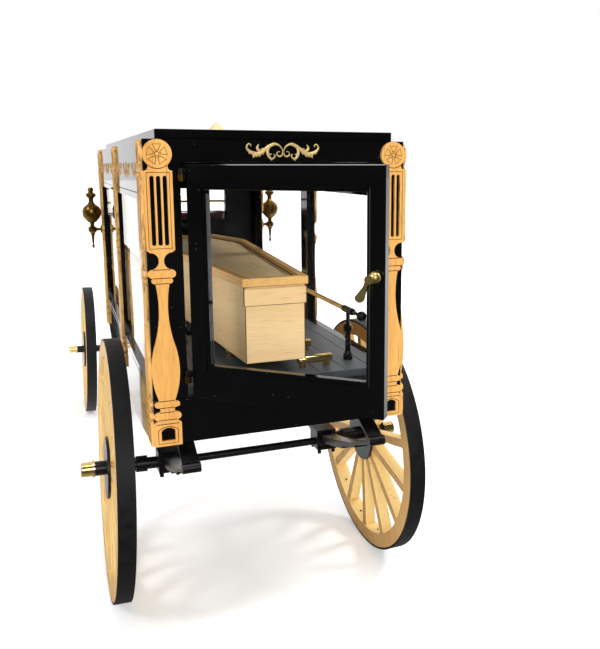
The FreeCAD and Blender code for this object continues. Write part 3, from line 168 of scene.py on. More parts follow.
world = bpy.data.worlds.new("studio")
bpy.context.scene.world = world
world.use_nodes = True
sky = world.node_tree
surround = sky.nodes["Background"]
surround.inputs["Color"].default_value = (1.0, 1.0, 1.0, 1.0)
rays = sky.nodes.new("ShaderNodeLightPath").outputs
heading = sky.nodes.new("ShaderNodeTexCoord").outputs["Generated"]
ahead = add_node(sky, "ShaderNodeSeparateXYZ", i0=heading).outputs["Y"]
direct = figure(sky, "MAXIMUM", rays["Is Camera Ray"], rays["Is Transmission Ray"])
mirrored = figure(sky, "MULTIPLY", rays["Is Glossy Ray"],
                  spread(sky, ahead, -0.3, 0.3, 0.06, 1.0))
others = figure(sky, "SUBTRACT", 1.0, figure(sky, "MAXIMUM", direct, rays["Is Glossy Ray"]))
soft_fill = 0.55
sky.links.new(figure(sky, "ADD", figure(sky, "MAXIMUM", direct, mirrored),
                     figure(sky, "MULTIPLY", others, soft_fill)), surround.inputs["Strength"])


def lamp(name, at, aim, wide, power):
    """A square soft lamp: its side in metres, its power in watts."""
    light = bpy.data.lights.new(name, "AREA")
    light.size = wide
    light.energy = power
    holder = put(name, light)
    holder.location = at
    holder.rotation_euler = (Vector(aim) - Vector(at)).to_track_quat("-Z", "Y").to_euler()


lamp("lamp_left", (-1.2, -0.6, 1.2), aim=(0.0, 0.0, 0.1), wide=0.4, power=8.0)
lamp("lamp_right", (1.1, 0.1, 0.9), aim=(0.0, 0.0, 0.1), wide=0.3, power=8.0)
lamp("lamp_behind", (-0.2, -1.9, 0.75), aim=(0.0, 0.0, 0.12), wide=0.7, power=13.0)
lamp("lamp_above", (0.25, -0.42, 1.5), aim=(0.0, -0.1, 0.1), wide=0.5, power=7.0)

camera = bpy.data.cameras.new("camera")
camera.lens = 41.25
camera.sensor_width = 36.0
camera.shift_x = -0.0692
camera.shift_y = -0.0507
camera.clip_start = 0.02
camera.clip_end = 40.0
looks_down, looks_right = 9.68, 21.57
eye = put("camera", camera)
eye.location = (-0.0795, -0.42745, 0.1866)
eye.rotation_euler = (math.radians(90 - looks_down), 0.0, math.radians(-looks_right))
bpy.context.scene.camera = eye
bpy.context.scene.view_settings.view_transform = "Standard"


# The fretwork pilasters: plates of basswood ply with a warm oiled face and fine upright
# fibres. Their cut edges are scorched golden brown, with streaks that darken higher up.


def make_group(name, takes, gives):
    """A shared pattern with named inputs and outputs."""
    group = bpy.data.node_groups.new(name, "ShaderNodeTree")
    for label, kind, value in takes:
        socket = group.interface.new_socket(name=label, in_out="INPUT", socket_type=kind)
        if value is not None:
            socket.default_value = value
    for label, kind in gives:
        group.interface.new_socket(name=label, in_out="OUTPUT", socket_type=kind)
    source = group.nodes.new("NodeGroupInput")
    result = group.nodes.new("NodeGroupOutput")
    return group, source.outputs, result.inputs


FLOAT, VECTOR = "NodeSocketFloat", "NodeSocketVector"

grain, takes, gives = make_group(
    "wood_grain",
    [("Place", VECTOR, None), ("Fibres", FLOAT, 2500.0), ("Figure", FLOAT, 90.0)],
    [("Tone", FLOAT), ("Pores", FLOAT), ("Height", FLOAT)])
long_way = add_node(grain, "ShaderNodeVectorMath", {"operation": "MULTIPLY"},
                    i0=takes["Place"], i1=(1.0, 1.0, 0.045)).outputs[0]
fibre = speckle(grain, long_way, takes["Fibres"], 3.0, 0.6)
bands = speckle(grain, long_way, takes["Figure"], 4.0, 0.55, 0.6)
fibre = spread(grain, fibre, 0.3, 0.7, 0.0, 1.0)
bands = spread(grain, bands, 0.35, 0.65, 0.0, 1.0)
grain.links.new(figure(grain, "ADD", figure(grain, "MULTIPLY", bands, 0.55),
                       figure(grain, "MULTIPLY", fibre, 0.45)), gives["Tone"])
grain.links.new(spread(grain, fibre, 0.72, 0.95, 0.0, 1.0), gives["Pores"])
grain.links.new(fibre, gives["Height"])


def stretch(tree, place, scale, turn=(0.0, 0.0, 0.0)):
    """Coordinates turned, then scaled along each axis."""
    node = add_node(tree, "ShaderNodeMapping", Vector=place, Rotation=turn, Scale=scale)
    return node.outputs[0]


def relief(tree, shader, height, strength, depth):
    """Fine relief on the surface, depth in metres."""
    node = add_node(tree, "ShaderNodeBump", Strength=strength, Distance=depth, Height=height)
    tree.links.new(node.outputs[0], shader.inputs["Normal"])


def bare_wood(name, pale, dark, pore, turn, fibres, figures, scorch_and_edge_light=None, face_axis=None):
    """Bare wood with its grain turned from upright.

    The two edge colours lie on every face but those that look along face_axis: burnt edges on the
    pilasters, and on the wheels edges painted paler than the faces as painted light.
    """
    finish, tree, shader, place = start_finish(name)
    at = place.outputs["Object"]
    wood = tree.nodes.new("ShaderNodeGroup")
    wood.node_tree = grain
    tree.links.new(stretch(tree, at, (1.0, 1.0, 1.0), turn), wood.inputs["Place"])
    wood.inputs["Fibres"].default_value = fibres
    wood.inputs["Figure"].default_value = figures
    face = blend(tree, wood.outputs["Tone"], pale, dark)
    face = blend(tree, figure(tree, "MULTIPLY", wood.outputs["Pores"], 0.4), face, pore)
    if scorch_and_edge_light:
        normal = add_node(tree, "ShaderNodeSeparateXYZ", i0=place.outputs["Normal"])
        facing = figure(tree, "ABSOLUTE", normal.outputs[face_axis])
        streaks = speckle(tree, stretch(tree, at, (700.0, 700.0, 160.0)), 1.0, 4.0, 0.65)
        height = add_node(tree, "ShaderNodeSeparateXYZ", i0=at).outputs["Z"]
        higher_up = spread(tree, height, 0.09, 0.15, 0.0, 0.08)
        depth = spread(tree, figure(tree, "ADD", streaks, higher_up), 0.56, 0.78, 0.0, 1.0)
        edge = spread(tree, facing, 0.4, 0.6, 1.0, 0.0)
        face = blend(tree, edge, face, blend(tree, depth, scorch_and_edge_light[0], scorch_and_edge_light[1]))
    tree.links.new(face, shader.inputs["Base Color"])
    tree.links.new(spread(tree, wood.outputs["Tone"], 0.0, 1.0, 0.5, 0.62),
                   shader.inputs["Roughness"])
    shader.inputs["Specular IOR Level"].default_value = 0.3
    relief(tree, shader, wood.outputs["Height"], 0.2, 0.00004)
    return finish


def wear(node, finish):
    """A node's own solid in its finish."""
    mesh = nodes[node].data
    mesh.materials.clear()
    mesh.materials.append(finish)


upright = (0.0, 0.0, 0.0)
ply_tones = (colour(236, 179, 96), colour(208, 147, 70), colour(144, 86, 34))
ply_scorch = (colour(226, 176, 104), colour(90, 50, 22))
ply_across = bare_wood("pilaster_ply_ends", *ply_tones, upright, fibres=2600.0, figures=120.0,
                       scorch_and_edge_light=ply_scorch, face_axis="Y")
ply_along = bare_wood("pilaster_ply_sides", *ply_tones, upright, fibres=2600.0, figures=120.0,
                      scorch_and_edge_light=ply_scorch, face_axis="X")
for node in ("pilasters_rear", "pilasters_front"):
    wear(node, ply_across)
for node in ("pilasters_left", "pilasters_right"):
    wear(node, ply_along)


# The engraving on each plate: burnt lines round the fluted panel, across the rings and
# round the arch at the foot, and a rosette of five petals on the disc.


def make_form(name, takes):
    """A form tree with a geometry input, named inputs and a geometry output."""
    tree = bpy.data.node_groups.new(name, "GeometryNodeTree")
    tree.interface.new_socket(name="Geometry", in_out="INPUT", socket_type="NodeSocketGeometry")
    for label, kind in takes:
        tree.interface.new_socket(name=label, in_out="INPUT", socket_type=kind)
    tree.interface.new_socket(name="Geometry", in_out="OUTPUT", socket_type="NodeSocketGeometry")
    return tree, tree.nodes.new("NodeGroupInput").outputs, tree.nodes.new("NodeGroupOutput")


def end_form(tree, takes, result, shape):
    """Closes a form tree: real geometry, in its finish."""
    real = add_node(tree, "GeometryNodeRealizeInstances", i0=shape)
    coated = add_node(tree, "GeometryNodeSetMaterial", Geometry=real.outputs[0],
                      Material=takes["Finish"])
    tree.links.new(coated.outputs[0], result.inputs[0])


def baked(holder):
    """The mesh that an object's modifiers make of it."""
    seen = bpy.context.evaluated_depsgraph_get()
    return bpy.data.meshes.new_from_object(holder.evaluated_get(seen))


def grown(name, seed, tree, **values):
    """The plain piece that a form tree makes of a seed object, which it uses up."""
    modifier = seed.modifiers.new("form", "NODES")
    modifier.node_group = tree
    for item in tree.interface.items_tree:
        if item.item_type == "SOCKET" and item.in_out == "INPUT" and item.name in values:
            modifier[item.identifier] = values[item.name]
    shape = baked(seed)
    bpy.data.objects.remove(seed)
    shape.name = name
    return put(name, shape)


def finished(piece, body, slot, *replaced):
    """A finished piece rides on its body and, where it stands for CAD nodes, hides them."""
    if replaced:
        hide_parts(*replaced)
    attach(piece, body)
    return piece


drawn_lines, takes, result = make_form(
    "drawn_lines", [("Radius", FLOAT), ("Sides", "NodeSocketInt"),
                    ("Finish", "NodeSocketMaterial")])
path = add_node(drawn_lines, "GeometryNodeMeshToCurve", Mesh=takes["Geometry"])
ring = add_node(drawn_lines, "GeometryNodeCurvePrimitiveCircle", Resolution=takes["Sides"],
                Radius=takes["Radius"])
line = add_node(drawn_lines, "GeometryNodeCurveToMesh", Curve=path.outputs[0],
                i1=ring.outputs[0])
line.inputs["Fill Caps"].default_value = True
end_form(drawn_lines, takes, result, line.outputs[0])


def drawn(name, lines, radius, sides, finish, slot):
    """Thin round lines; each one is its points and whether it closes on itself."""
    vertices, edges = [], []
    for points, closed in lines:
        first = len(vertices)
        vertices += points
        edges += [(first + step, first + step + 1) for step in range(len(points) - 1)]
        if closed:
            edges.append((len(vertices) - 1, first))
    seed = mesh_piece(name + "_seed", vertices, [], edges=edges)
    piece = grown(name, seed, drawn_lines, Radius=radius, Sides=sides, Finish=finish)
    return finished(piece, "body", slot)


engraved, tree, shader, place = start_finish("burnt_line")
ember = speckle(tree, place.outputs["Object"], 900.0, 3.0)
tree.links.new(blend(tree, spread(tree, ember, 0.35, 0.65, 0.0, 1.0), colour(88, 46, 16),
                     colour(50, 24, 8)), shader.inputs["Base Color"])
tree.links.new(spread(tree, ember, 0.3, 0.7, 0.7, 0.85), shader.inputs["Roughness"])
shader.inputs["Specular IOR Level"].default_value = 0.15

plate_half, disc_radius, disc_high = 0.00485, 0.00495, 0.1045
burnt_radius, sunk = 0.0002, 0.00014
foot_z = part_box("pilasters_rear")[0][2]


def arc(middle, radius, start, end, steps):
    """Points of a round stretch, angles in degrees."""
    points = []
    for step in range(steps + 1):
        angle = math.radians(start + (end - start) * step / steps)
        points.append((middle[0] + radius * math.cos(angle), middle[1] + radius * math.sin(angle)))
    return points


def plate_lines(trim):
    """Every engraved line of a plate, across and up from its foot; trim shortens the block."""
    panel, panel_low, panel_high = 0.0039, 0.072, 0.0982
    lines = [([(-panel, panel_low), (panel, panel_low), (panel, panel_high),
               (-panel, panel_high)], True),
             (arc((0.0, disc_high), disc_radius, 228, 312, 12), False)]
    for half, height in ((0.0030, 0.06460), (0.0030, 0.06160), (0.0026, 0.05965),
                         (0.0027, 0.0169), (0.0026, 0.0144), (0.0026, 0.0127),
                         (0.0033, 0.00985), (0.0041, 0.0083)):
        lines.append(([(-half, height), (half, height)], False))
    arch, rise, drop, foot = 0.0035, 0.0060, 0.0042, trim + 0.0010
    round_top = arc((0.0, rise - drop), drop / math.cos(math.radians(40)), 50, 130, 8)
    lines.append(([(-arch, foot), (arch, foot)] + round_top, True))
    boss = 0.0008
    lines.append((arc((0.0, disc_high), boss, 0, 330, 11), True))
    inner, narrow, outer, wide = 0.00125, 0.00045, 0.0033, 0.00145
    petal = ((inner, -narrow), (inner, narrow), (outer, wide), (outer, -wide))
    for number in range(5):
        turn = math.radians(90 + 72 * number)
        lines.append(([(u * math.cos(turn) - v * math.sin(turn),
                        disc_high + u * math.sin(turn) + v * math.cos(turn))
                       for u, v in petal], True))
    return lines


def engrave(name, plates):
    """The lines of several plates; each plate gives its map from the plate to the model."""
    lines = [([carry(u, v) for u, v in points], closed)
             for carry, trim in plates for points, closed in plate_lines(trim)]
    drawn(name, lines, burnt_radius, sides=8, finish=engraved, slot="pilaster_wood")


rear_low, rear_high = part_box("pilasters_rear")
front_low, front_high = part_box("pilasters_front")
side_low, side_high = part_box("pilasters_left")
nose_rise, middle_rise = front_low[2] - foot_z, 0.0030
stations = ((side_low[1] + plate_half, 0.0), ((side_low[1] + side_high[1]) / 2, middle_rise),
            (side_high[1] - plate_half, nose_rise))
end_x = rear_high[0] - plate_half
engrave("engraving_rear", [
    (lambda u, v, x=x: (x + u, rear_low[1] + sunk, foot_z + v), 0.0) for x in (-end_x, end_x)])
engrave("engraving_front", [
    (lambda u, v, x=x: (x + u, front_high[1] - sunk, foot_z + v), nose_rise)
    for x in (-end_x, end_x)])
engrave("engraving_left", [
    (lambda u, v, y=y: (side_low[0] + sunk, y + u, foot_z + v), trim) for y, trim in stations])
engrave("engraving_right", [
    (lambda u, v, y=y: (-side_low[0] - sunk, y + u, foot_z + v), trim) for y, trim in stations])


# Black coachwork: panels, frames, frieze, roof and boot are boards in gloss black lacquer
# with a little dust in it, and edges softly rounded by the paint.

settled, takes, gives = make_group(
    "settled_dust",
    [("Place", VECTOR, None), ("Grains", FLOAT, 700.0), ("Share", FLOAT, 0.05)],
    [("Specks", FLOAT), ("Cloud", FLOAT)])
cells = add_node(settled, "ShaderNodeTexVoronoi", {"feature": "F1"}, Vector=takes["Place"],
                 Scale=takes["Grains"])
near = spread(settled, cells.outputs["Distance"], 0.06, 0.16, 1.0, 0.0)
chosen = add_node(settled, "ShaderNodeSeparateColor", i0=cells.outputs["Color"]).outputs[0]
chosen = figure(settled, "LESS_THAN", chosen, takes["Share"])
settled.links.new(figure(settled, "MULTIPLY", near, chosen), gives["Specks"])
settled.links.new(speckle(settled, takes["Place"], 60.0, 5.0), gives["Cloud"])

black_lacquer, tree, shader, place = start_finish("black_lacquer")
film = tree.nodes.new("ShaderNodeGroup")
film.node_tree = settled
tree.links.new(place.outputs["Object"], film.inputs["Place"])
base = blend(tree, film.outputs["Cloud"], colour(4, 4, 5), colour(8, 8, 9))
base = blend(tree, figure(tree, "MULTIPLY", film.outputs["Specks"], 0.35), base,
             colour(130, 130, 130))
tree.links.new(base, shader.inputs["Base Color"])
tree.links.new(spread(tree, film.outputs["Cloud"], 0.3, 0.7, 0.5, 0.6),
               shader.inputs["Roughness"])
shader.inputs["Specular IOR Level"].default_value = 0.0
shader.inputs["Coat Weight"].default_value = 1.0
shader.inputs["Coat IOR"].default_value = 1.4
shader.inputs["Coat Roughness"].default_value = 0.05
brushed = speckle(tree, place.outputs["Object"], 420.0, 2.0)
relief(tree, shader, brushed, 0.06, 0.00005)

body_of = {member: body for body, members in record["behaviour"]["bodies"].items()
           for member in members}
slot_of = {row["node"]: row["material_slot"] for row in record["subparts"]}


def eased(node, finish, width, smooth=None):
    """A copy of a node's solid with its sharp edges rounded; it stands for the node.

    Its faces stay flat unless smooth gives the angle, in degrees, below which they blend.
    """
    mesh = nodes[node].data.copy()
    form = bmesh.new()
    form.from_mesh(mesh)
    bmesh.ops.remove_doubles(form, verts=form.verts, dist=0.000002)
    bmesh.ops.dissolve_limit(form, angle_limit=0.01, verts=form.verts, edges=form.edges)
    form.to_mesh(mesh)
    form.free()
    mesh.materials.clear()
    mesh.materials.append(finish)
    holder = put(node + "_boards", mesh)
    rounding = holder.modifiers.new("rounding", "BEVEL")
    rounding.width = width
    rounding.segments = 2
    rounding.limit_method = "ANGLE"
    rounding.angle_limit = math.radians(35)
    shape = baked(holder)
    bpy.data.objects.remove(holder)
    if smooth:
        shape.shade_smooth()
        shape.set_sharp_from_angle(angle=math.radians(smooth))
    else:
        shape.shade_flat()
    return finished(put(node + "_finished", shape), body_of[node], slot_of[node], node)


for node in ("side_panel_left", "side_panel_right", "rear_sill_panel", "front_panel",
             "side_frame_left", "side_frame_right", "door_posts", "front_wall", "frieze",
             "roof", "door_frame", "boot", "footboard"):
    eased(node, black_lacquer, width=0.0003)


# The pyramid on the roof: a small block of bare pale wood. It is cut to four slopes and
# glued on, with its grain upright.

finial_wood = bare_wood("finial_wood", colour(246, 222, 178), colour(236, 206, 156),
                        colour(190, 146, 90), upright, fibres=1700.0, figures=70.0)
eased("roof_finial", finial_wood, width=0.0003)


# Gold scrollwork: acanthus scrolls in gold leaf on the frieze, one pair over the rear
# door, and a running band of them in each side bay, in a darker, browner copy of the gold
# that is painted shade. Each stroke swells and tapers.


def metal_leaf(name, bright, worn_tone):
    """Leaf metal laid on the paint, thin in places."""
    finish, tree, shader, place = start_finish(name)
    worn = speckle(tree, place.outputs["Object"], 1400.0, 3.0)
    tree.links.new(blend(tree, spread(tree, worn, 0.4, 0.7, 0.0, 1.0), bright, worn_tone),
                   shader.inputs["Base Color"])
    tree.links.new(spread(tree, worn, 0.3, 0.7, 0.38, 0.55), shader.inputs["Roughness"])
    tree.links.new(spread(tree, worn, 0.3, 0.7, 0.55, 0.35), shader.inputs["Metallic"])
    return finish


gold_leaf = metal_leaf("gold_leaf", colour(236, 212, 148), colour(196, 158, 84))
# Painted shade: the side bays' gold is a darker, browner copy of the same leaf.
shaded_side_gold = metal_leaf("gold_leaf_side_shaded", colour(190, 148, 76), colour(128, 90, 38))


def smooth_path(points):
    """Points of a smooth line through the given (across, up, width) points."""
    parts = 6
    ends = [points[0]] + list(points) + [points[-1]]
    path = []
    for index in range(1, len(ends) - 2):
        before, start, end, after = (Vector(ends[index + step]) for step in (-1, 0, 1, 2))
        for part in range(parts):
            t = part / parts
            path.append(0.5 * ((2 * start) + (end - before) * t
                               + (2 * before - 5 * start + 4 * end - after) * t * t
                               + (3 * start - before - 3 * end + after) * t ** 3))
    path.append(Vector(points[-1]))
    return path


def stroke(vertices, faces, path):
    """Adds a ridge along a path in the plane, lower where it is narrow, in millimetres."""
    ridge, full_width = 0.16, 0.4
    first = len(vertices)
    for index, here in enumerate(path):
        ahead = path[min(index + 1, len(path) - 1)] - path[max(index - 1, 0)]
        side = Vector((-ahead[1], ahead[0])).normalized() * here[2] / 2
        lift = ridge * min(1.0, here[2] / full_width)
        vertices += [(here[0] + side[0], here[1] + side[1], 0.0), (here[0], here[1], lift),
                     (here[0] - side[0], here[1] - side[1], 0.0)]
    for index in range(len(path) - 1):
        low = first + 3 * index
        high = low + 3
        faces += [(low, high, high + 1, low + 1), (low + 1, high + 1, high + 2, low + 2),
                  (low + 2, high + 2, high, low)]
    last = first + 3 * (len(path) - 1)
    faces += [(first, first + 1, first + 2), (last + 2, last + 1, last)]


def spiral(middle, start, end, turn_from, turn_to, thick, thin):
    """(across, up, width) points of a spiral whose radius runs from start to end."""
    points = []
    steps, hair = 14, 0.12
    for step in range(steps + 1):
        share = step / steps
        angle = math.radians(turn_from + (turn_to - turn_from) * share)
        radius = start + (end - start) * share
        width = thin + (thick - thin) * math.sin(math.pi * min(1.0, share * 1.2 + 0.1))
        points.append(Vector((middle[0] + radius * math.cos(angle),
                              middle[1] + radius * math.sin(angle), max(width, hair))))
    return points


def acanthus():
    """The right half of a scroll in millimetres: strokes of (across, up, width) points."""
    branch = [(0.1, 0.0, 0.25), (0.6, 1.35, 0.4), (1.6, 2.35, 0.6), (3.2, 2.8, 0.95),
              (5.2, 1.95, 1.2), (7.2, 0.55, 1.1), (8.9, -0.6, 1.35), (10.4, -0.75, 1.5),
              (12.2, -0.05, 1.1), (13.3, 0.9, 0.8), (13.5, 2.0, 0.55), (12.8, 2.75, 0.45),
              (12.05, 2.45, 0.4), (12.1, 1.85, 0.3)]
    pendant = [(4.9, 2.0, 0.7), (5.7, 1.1, 1.1), (5.85, -0.2, 1.0), (5.3, -1.7, 0.95),
               (4.5, -2.45, 0.7), (3.6, -2.2, 0.55), (3.1, -1.45, 0.5), (3.45, -0.8, 0.4)]
    strokes = [smooth_path(branch), smooth_path(pendant),
               smooth_path([(7.6, 0.2, 0.6), (9.0, 0.45, 1.0), (9.7, 1.5, 0.85), (9.0, 2.65, 0.2)])]
    strokes.append(spiral((1.5, -0.55), 1.3, 0.62, 160, 480, 0.55, 0.2))
    for tip in (((6.9, 0.9, 0.8), (7.6, 1.05, 0.5), (8.3, 1.1, 0.12)),
                ((7.0, 0.6, 0.9), (7.4, -0.3, 0.6), (7.6, -1.1, 0.12)),
                ((8.4, -0.3, 1.0), (8.7, -1.2, 0.7), (9.1, -1.9, 0.12)),
                ((10.4, -0.7, 1.2), (11.0, -1.5, 0.8), (11.3, -2.2, 0.15)),
                ((9.6, -0.8, 1.0), (10.0, -1.6, 0.6), (10.2, -2.0, 0.12)),
                ((4.9, -2.1, 0.6), (4.5, -2.8, 0.4), (4.3, -3.2, 0.12)),
                ((5.6, -0.6, 0.8), (4.9, -0.9, 0.4), (4.3, -0.8, 0.12)),
                ((13.2, 1.0, 0.7), (13.7, 1.35, 0.4), (14.0, 1.6, 0.12)),
                ((12.0, -0.1, 0.8), (12.6, -0.5, 0.4), (13.0, -0.5, 0.12))):
        strokes.append([Vector(point) for point in tip])
    return strokes


def scroll_seed(name, carry):
    """A whole scroll, both halves; carry maps (across, up, out) to the model."""
    millimetre = 0.001
    vertices, faces = [], []
    for side in (1, -1):
        for path in acanthus():
            flipped = [Vector((point[0] * side, point[1], point[2])) for point in path]
            stroke(vertices, faces, flipped)
    placed = [carry(u * millimetre, v * millimetre, w * millimetre) for u, v, w in vertices]
    piece = mesh_piece(name, placed, faces)
    shape = bmesh.new()
    shape.from_mesh(piece.data)
    bmesh.ops.recalc_face_normals(shape, faces=shape.faces)
    shape.to_mesh(piece.data)
    shape.free()
    return piece


copies_in_line, takes, result = make_form(
    "copies_in_line", [("Count", "NodeSocketInt"), ("Step", VECTOR),
                       ("Finish", "NodeSocketMaterial")])
spots = add_node(copies_in_line, "GeometryNodeMeshLine", Count=takes["Count"],
                 Offset=takes["Step"])
row = add_node(copies_in_line, "GeometryNodeInstanceOnPoints", Points=spots.outputs[0],
               Instance=takes["Geometry"])
end_form(copies_in_line, takes, result, row.outputs[0])

frieze_low, frieze_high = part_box("frieze")
scroll_x, scroll_z = 0.0007, 0.1912
seed = scroll_seed("scroll_rear_seed",
                   lambda u, v, w: (scroll_x + u, frieze_low[1] - w, scroll_z + v))
finished(grown("scroll_rear", seed, copies_in_line, Count=1, Step=(0.0, 0.0, 0.0),
               Finish=gold_leaf), "body", "brass")
band_z, motifs = 0.1846, 3
bay = stations[1][0] - stations[0][0]
for side, sign in (("left", -1), ("right", 1)):
    for number in (0, 1):
        start = stations[number][0] + bay / (2 * motifs)
        seed = scroll_seed(f"scroll_{side}_{number}_seed",
                           lambda u, v, w: (sign * (frieze_high[0] + w), start + u, band_z + v))
        finished(grown(f"scroll_{side}_{number}", seed, copies_in_line, Count=motifs,
                       Step=(0.0, bay / motifs, 0.0), Finish=shaded_side_gold), "body", "brass")


# The deck: black-painted planks with a groove between them, coloured grey-blue as painted
# reflection, each a tone of its own.

plank_width = 0.011
lengthways = (math.pi / 2, 0.0, 0.0)
deck_paint_and_reflection, tree, shader, place = start_finish("deck_planks")
spaced = add_node(tree, "ShaderNodeSeparateXYZ", i0=place.outputs["Object"])
plank = figure(tree, "FLOOR", figure(tree, "MULTIPLY", spaced.outputs["X"], 1 / plank_width))
plank_tone = add_node(tree, "ShaderNodeTexWhiteNoise", {"noise_dimensions": "1D"},
                      W=plank).outputs["Value"]
wood = tree.nodes.new("ShaderNodeGroup")
wood.node_tree = grain
tree.links.new(stretch(tree, place.outputs["Object"], (1.0, 1.0, 1.0), lengthways),
               wood.inputs["Place"])
wood.inputs["Fibres"].default_value = 1500.0
# Painted reflection: the black planks are given a grey-blue tone.
base = blend(tree, plank_tone, colour(66, 71, 76), colour(78, 84, 89))
base = blend(tree, figure(tree, "MULTIPLY", wood.outputs["Tone"], 0.45), base, colour(50, 54, 58))
tree.links.new(base, shader.inputs["Base Color"])
tree.links.new(spread(tree, wood.outputs["Tone"], 0.0, 1.0, 0.4, 0.6), shader.inputs["Roughness"])
relief(tree, shader, wood.outputs["Height"], 0.3, 0.00006)
wear("deck", deck_paint_and_reflection)


# Window panes: thin clear sheets set in the frames. They are hardly to be seen when looked
# at squarely, and gleam when looked along.

clear_glass, tree, shader, place = start_finish("window_glass")
haze = speckle(tree, place.outputs["Object"], 30.0, 3.0)
tree.links.new(spread(tree, haze, 0.3, 0.7, 0.005, 0.02), shader.inputs["Roughness"])
tree.links.new(blend(tree, haze, colour(244, 248, 247), colour(250, 253, 252)),
               shader.inputs["Base Color"])
slant = add_node(tree, "ShaderNodeLayerWeight", Blend=0.5).outputs["Facing"]
clear, gleaming = 0.002, 0.98
tree.links.new(spread(tree, slant, 0.8, 0.91, clear, gleaming), shader.inputs["Alpha"])
shader.inputs["Transmission Weight"].default_value = 1.0
shader.inputs["IOR"].default_value = 1.6
for node in ("cabin_glass", "door_glass"):
    wear(node, clear_glass)


# Brass: turned and polished fittings with fine marks of the lathe. The rails and the
# handle are satin, in a paler copy of the brass that is painted light; the lamps and the door's
# pintles are rougher, in a darker copy that is painted shade.


def metal(name, bright, dull, rough, metallic, grit, marks, gloss=0.5):
    """A metal, paint or leather in two patchy tones, between two values of roughness.

    The higher grit is, the finer the patches; marks is the strength of its fine relief.
    """
    finish, tree, shader, place = start_finish(name)
    patch = speckle(tree, place.outputs["Object"], grit, 5.0, 0.6)
    tree.links.new(blend(tree, spread(tree, patch, 0.35, 0.7, 0.0, 1.0), bright, dull),
                   shader.inputs["Base Color"])
    tree.links.new(spread(tree, patch, 0.3, 0.7, *rough), shader.inputs["Roughness"])
    shader.inputs["Metallic"].default_value = metallic
    shader.inputs["Specular IOR Level"].default_value = gloss
    fine = speckle(tree, place.outputs["Object"], grit * 7, 2.0)
    relief(tree, shader, fine, marks, 0.00005)
    return finish


brass = metal("polished_brass", colour(240, 212, 140), colour(214, 176, 100),
              rough=(0.12, 0.24), metallic=1.0, grit=150.0, marks=0.05)
# Painted shade: a darker copy of the brass for the lamps and the door's pintles.
dull_shaded_brass = metal("dull_shaded_brass", colour(128, 100, 40), colour(70, 50, 16),
                   rough=(0.28, 0.42), metallic=1.0, grit=180.0, marks=0.12)
# Painted light: a paler copy of the brass for the rails and the handle.
rail_lit_brass = metal("rail_lit_brass", colour(250, 224, 150), colour(206, 172, 100),
                   rough=(0.26, 0.38), metallic=1.0, grit=170.0, marks=0.1)
for node in ("coffin_rails", "seat_rail", "door_handle"):
    wear(node, rail_lit_brass)
for node in ("lamps", "door_pintles"):
    wear(node, dull_shaded_brass)
for end in ("rear", "front"):
    for side in ("left", "right"):
        wear(f"hub_cap_{end}_{side}", brass)


# Black ironwork: springs, axles, steering gear, stanchions, hinges and latch, cast or
# forged and painted satin black.

ironwork = metal("black_ironwork", colour(8, 8, 9), colour(17, 17, 18),
                 rough=(0.24, 0.4), metallic=0.0, grit=260.0, marks=0.3, gloss=0.35)
for node in ("rail_stanchions", "door_latch", "door_hinges", "rear_axle", "front_axle",
             "rear_springs", "front_springs", "spring_blocks", "fore_frame", "splinter_bar",
             "turntable_lower", "turntable_upper"):
    wear(node, ironwork)


# The wheels: felloe and spokes of bare wood, iron hubs and a satin black tyre. The wood's
# edges are painted paler than its faces, as painted light. A small dark pin shows inside the felloe
# between each two spokes.

tyre_black = metal("tyre_black", colour(13, 13, 14), colour(24, 24, 25),
                   rough=(0.45, 0.6), metallic=0.0, grit=320.0, marks=0.3, gloss=0.25)
# Painted light: spoke sides and felloe rims take two paler tones than the wheel's faces.
wheel_wood = bare_wood("wheel_wood", colour(236, 190, 122), colour(214, 164, 98),
                       colour(170, 112, 56), upright, fibres=1900.0, figures=80.0,
                       scorch_and_edge_light=(colour(255, 222, 150), colour(226, 172, 100)), face_axis="X")

turned_copies, takes, result = make_form(
    "turned_copies", [("Count", "NodeSocketInt"), ("Angle", FLOAT), ("Start", FLOAT),
                      ("Finish", "NodeSocketMaterial")])
spots = add_node(turned_copies, "GeometryNodeMeshLine", Count=takes["Count"])
spots.inputs["Offset"].default_value = (0.0, 0.0, 0.0)
number = turned_copies.nodes.new("GeometryNodeInputIndex").outputs[0]
angle = figure(turned_copies, "ADD", figure(turned_copies, "MULTIPLY", number, takes["Angle"]),
               takes["Start"])
turn = add_node(turned_copies, "ShaderNodeCombineXYZ", Z=angle)
row = add_node(turned_copies, "GeometryNodeInstanceOnPoints", Points=spots.outputs[0],
               Instance=takes["Geometry"], Rotation=turn.outputs[0])
end_form(turned_copies, takes, result, row.outputs[0])


def pin_head(radius, height, sides):
    """The vertices and faces of a small closed drum standing on the origin."""
    turns = [2 * math.pi * step / sides for step in range(sides)]
    vertices = [(radius * math.cos(turn), radius * math.sin(turn), z)
                for z in (0.0, height) for turn in turns]
    faces = [tuple(reversed(range(sides))), tuple(range(sides, 2 * sides))]
    for step in range(sides):
        after = (step + 1) % sides
        faces.append((step, after, sides + after, sides + step))
    return vertices, faces


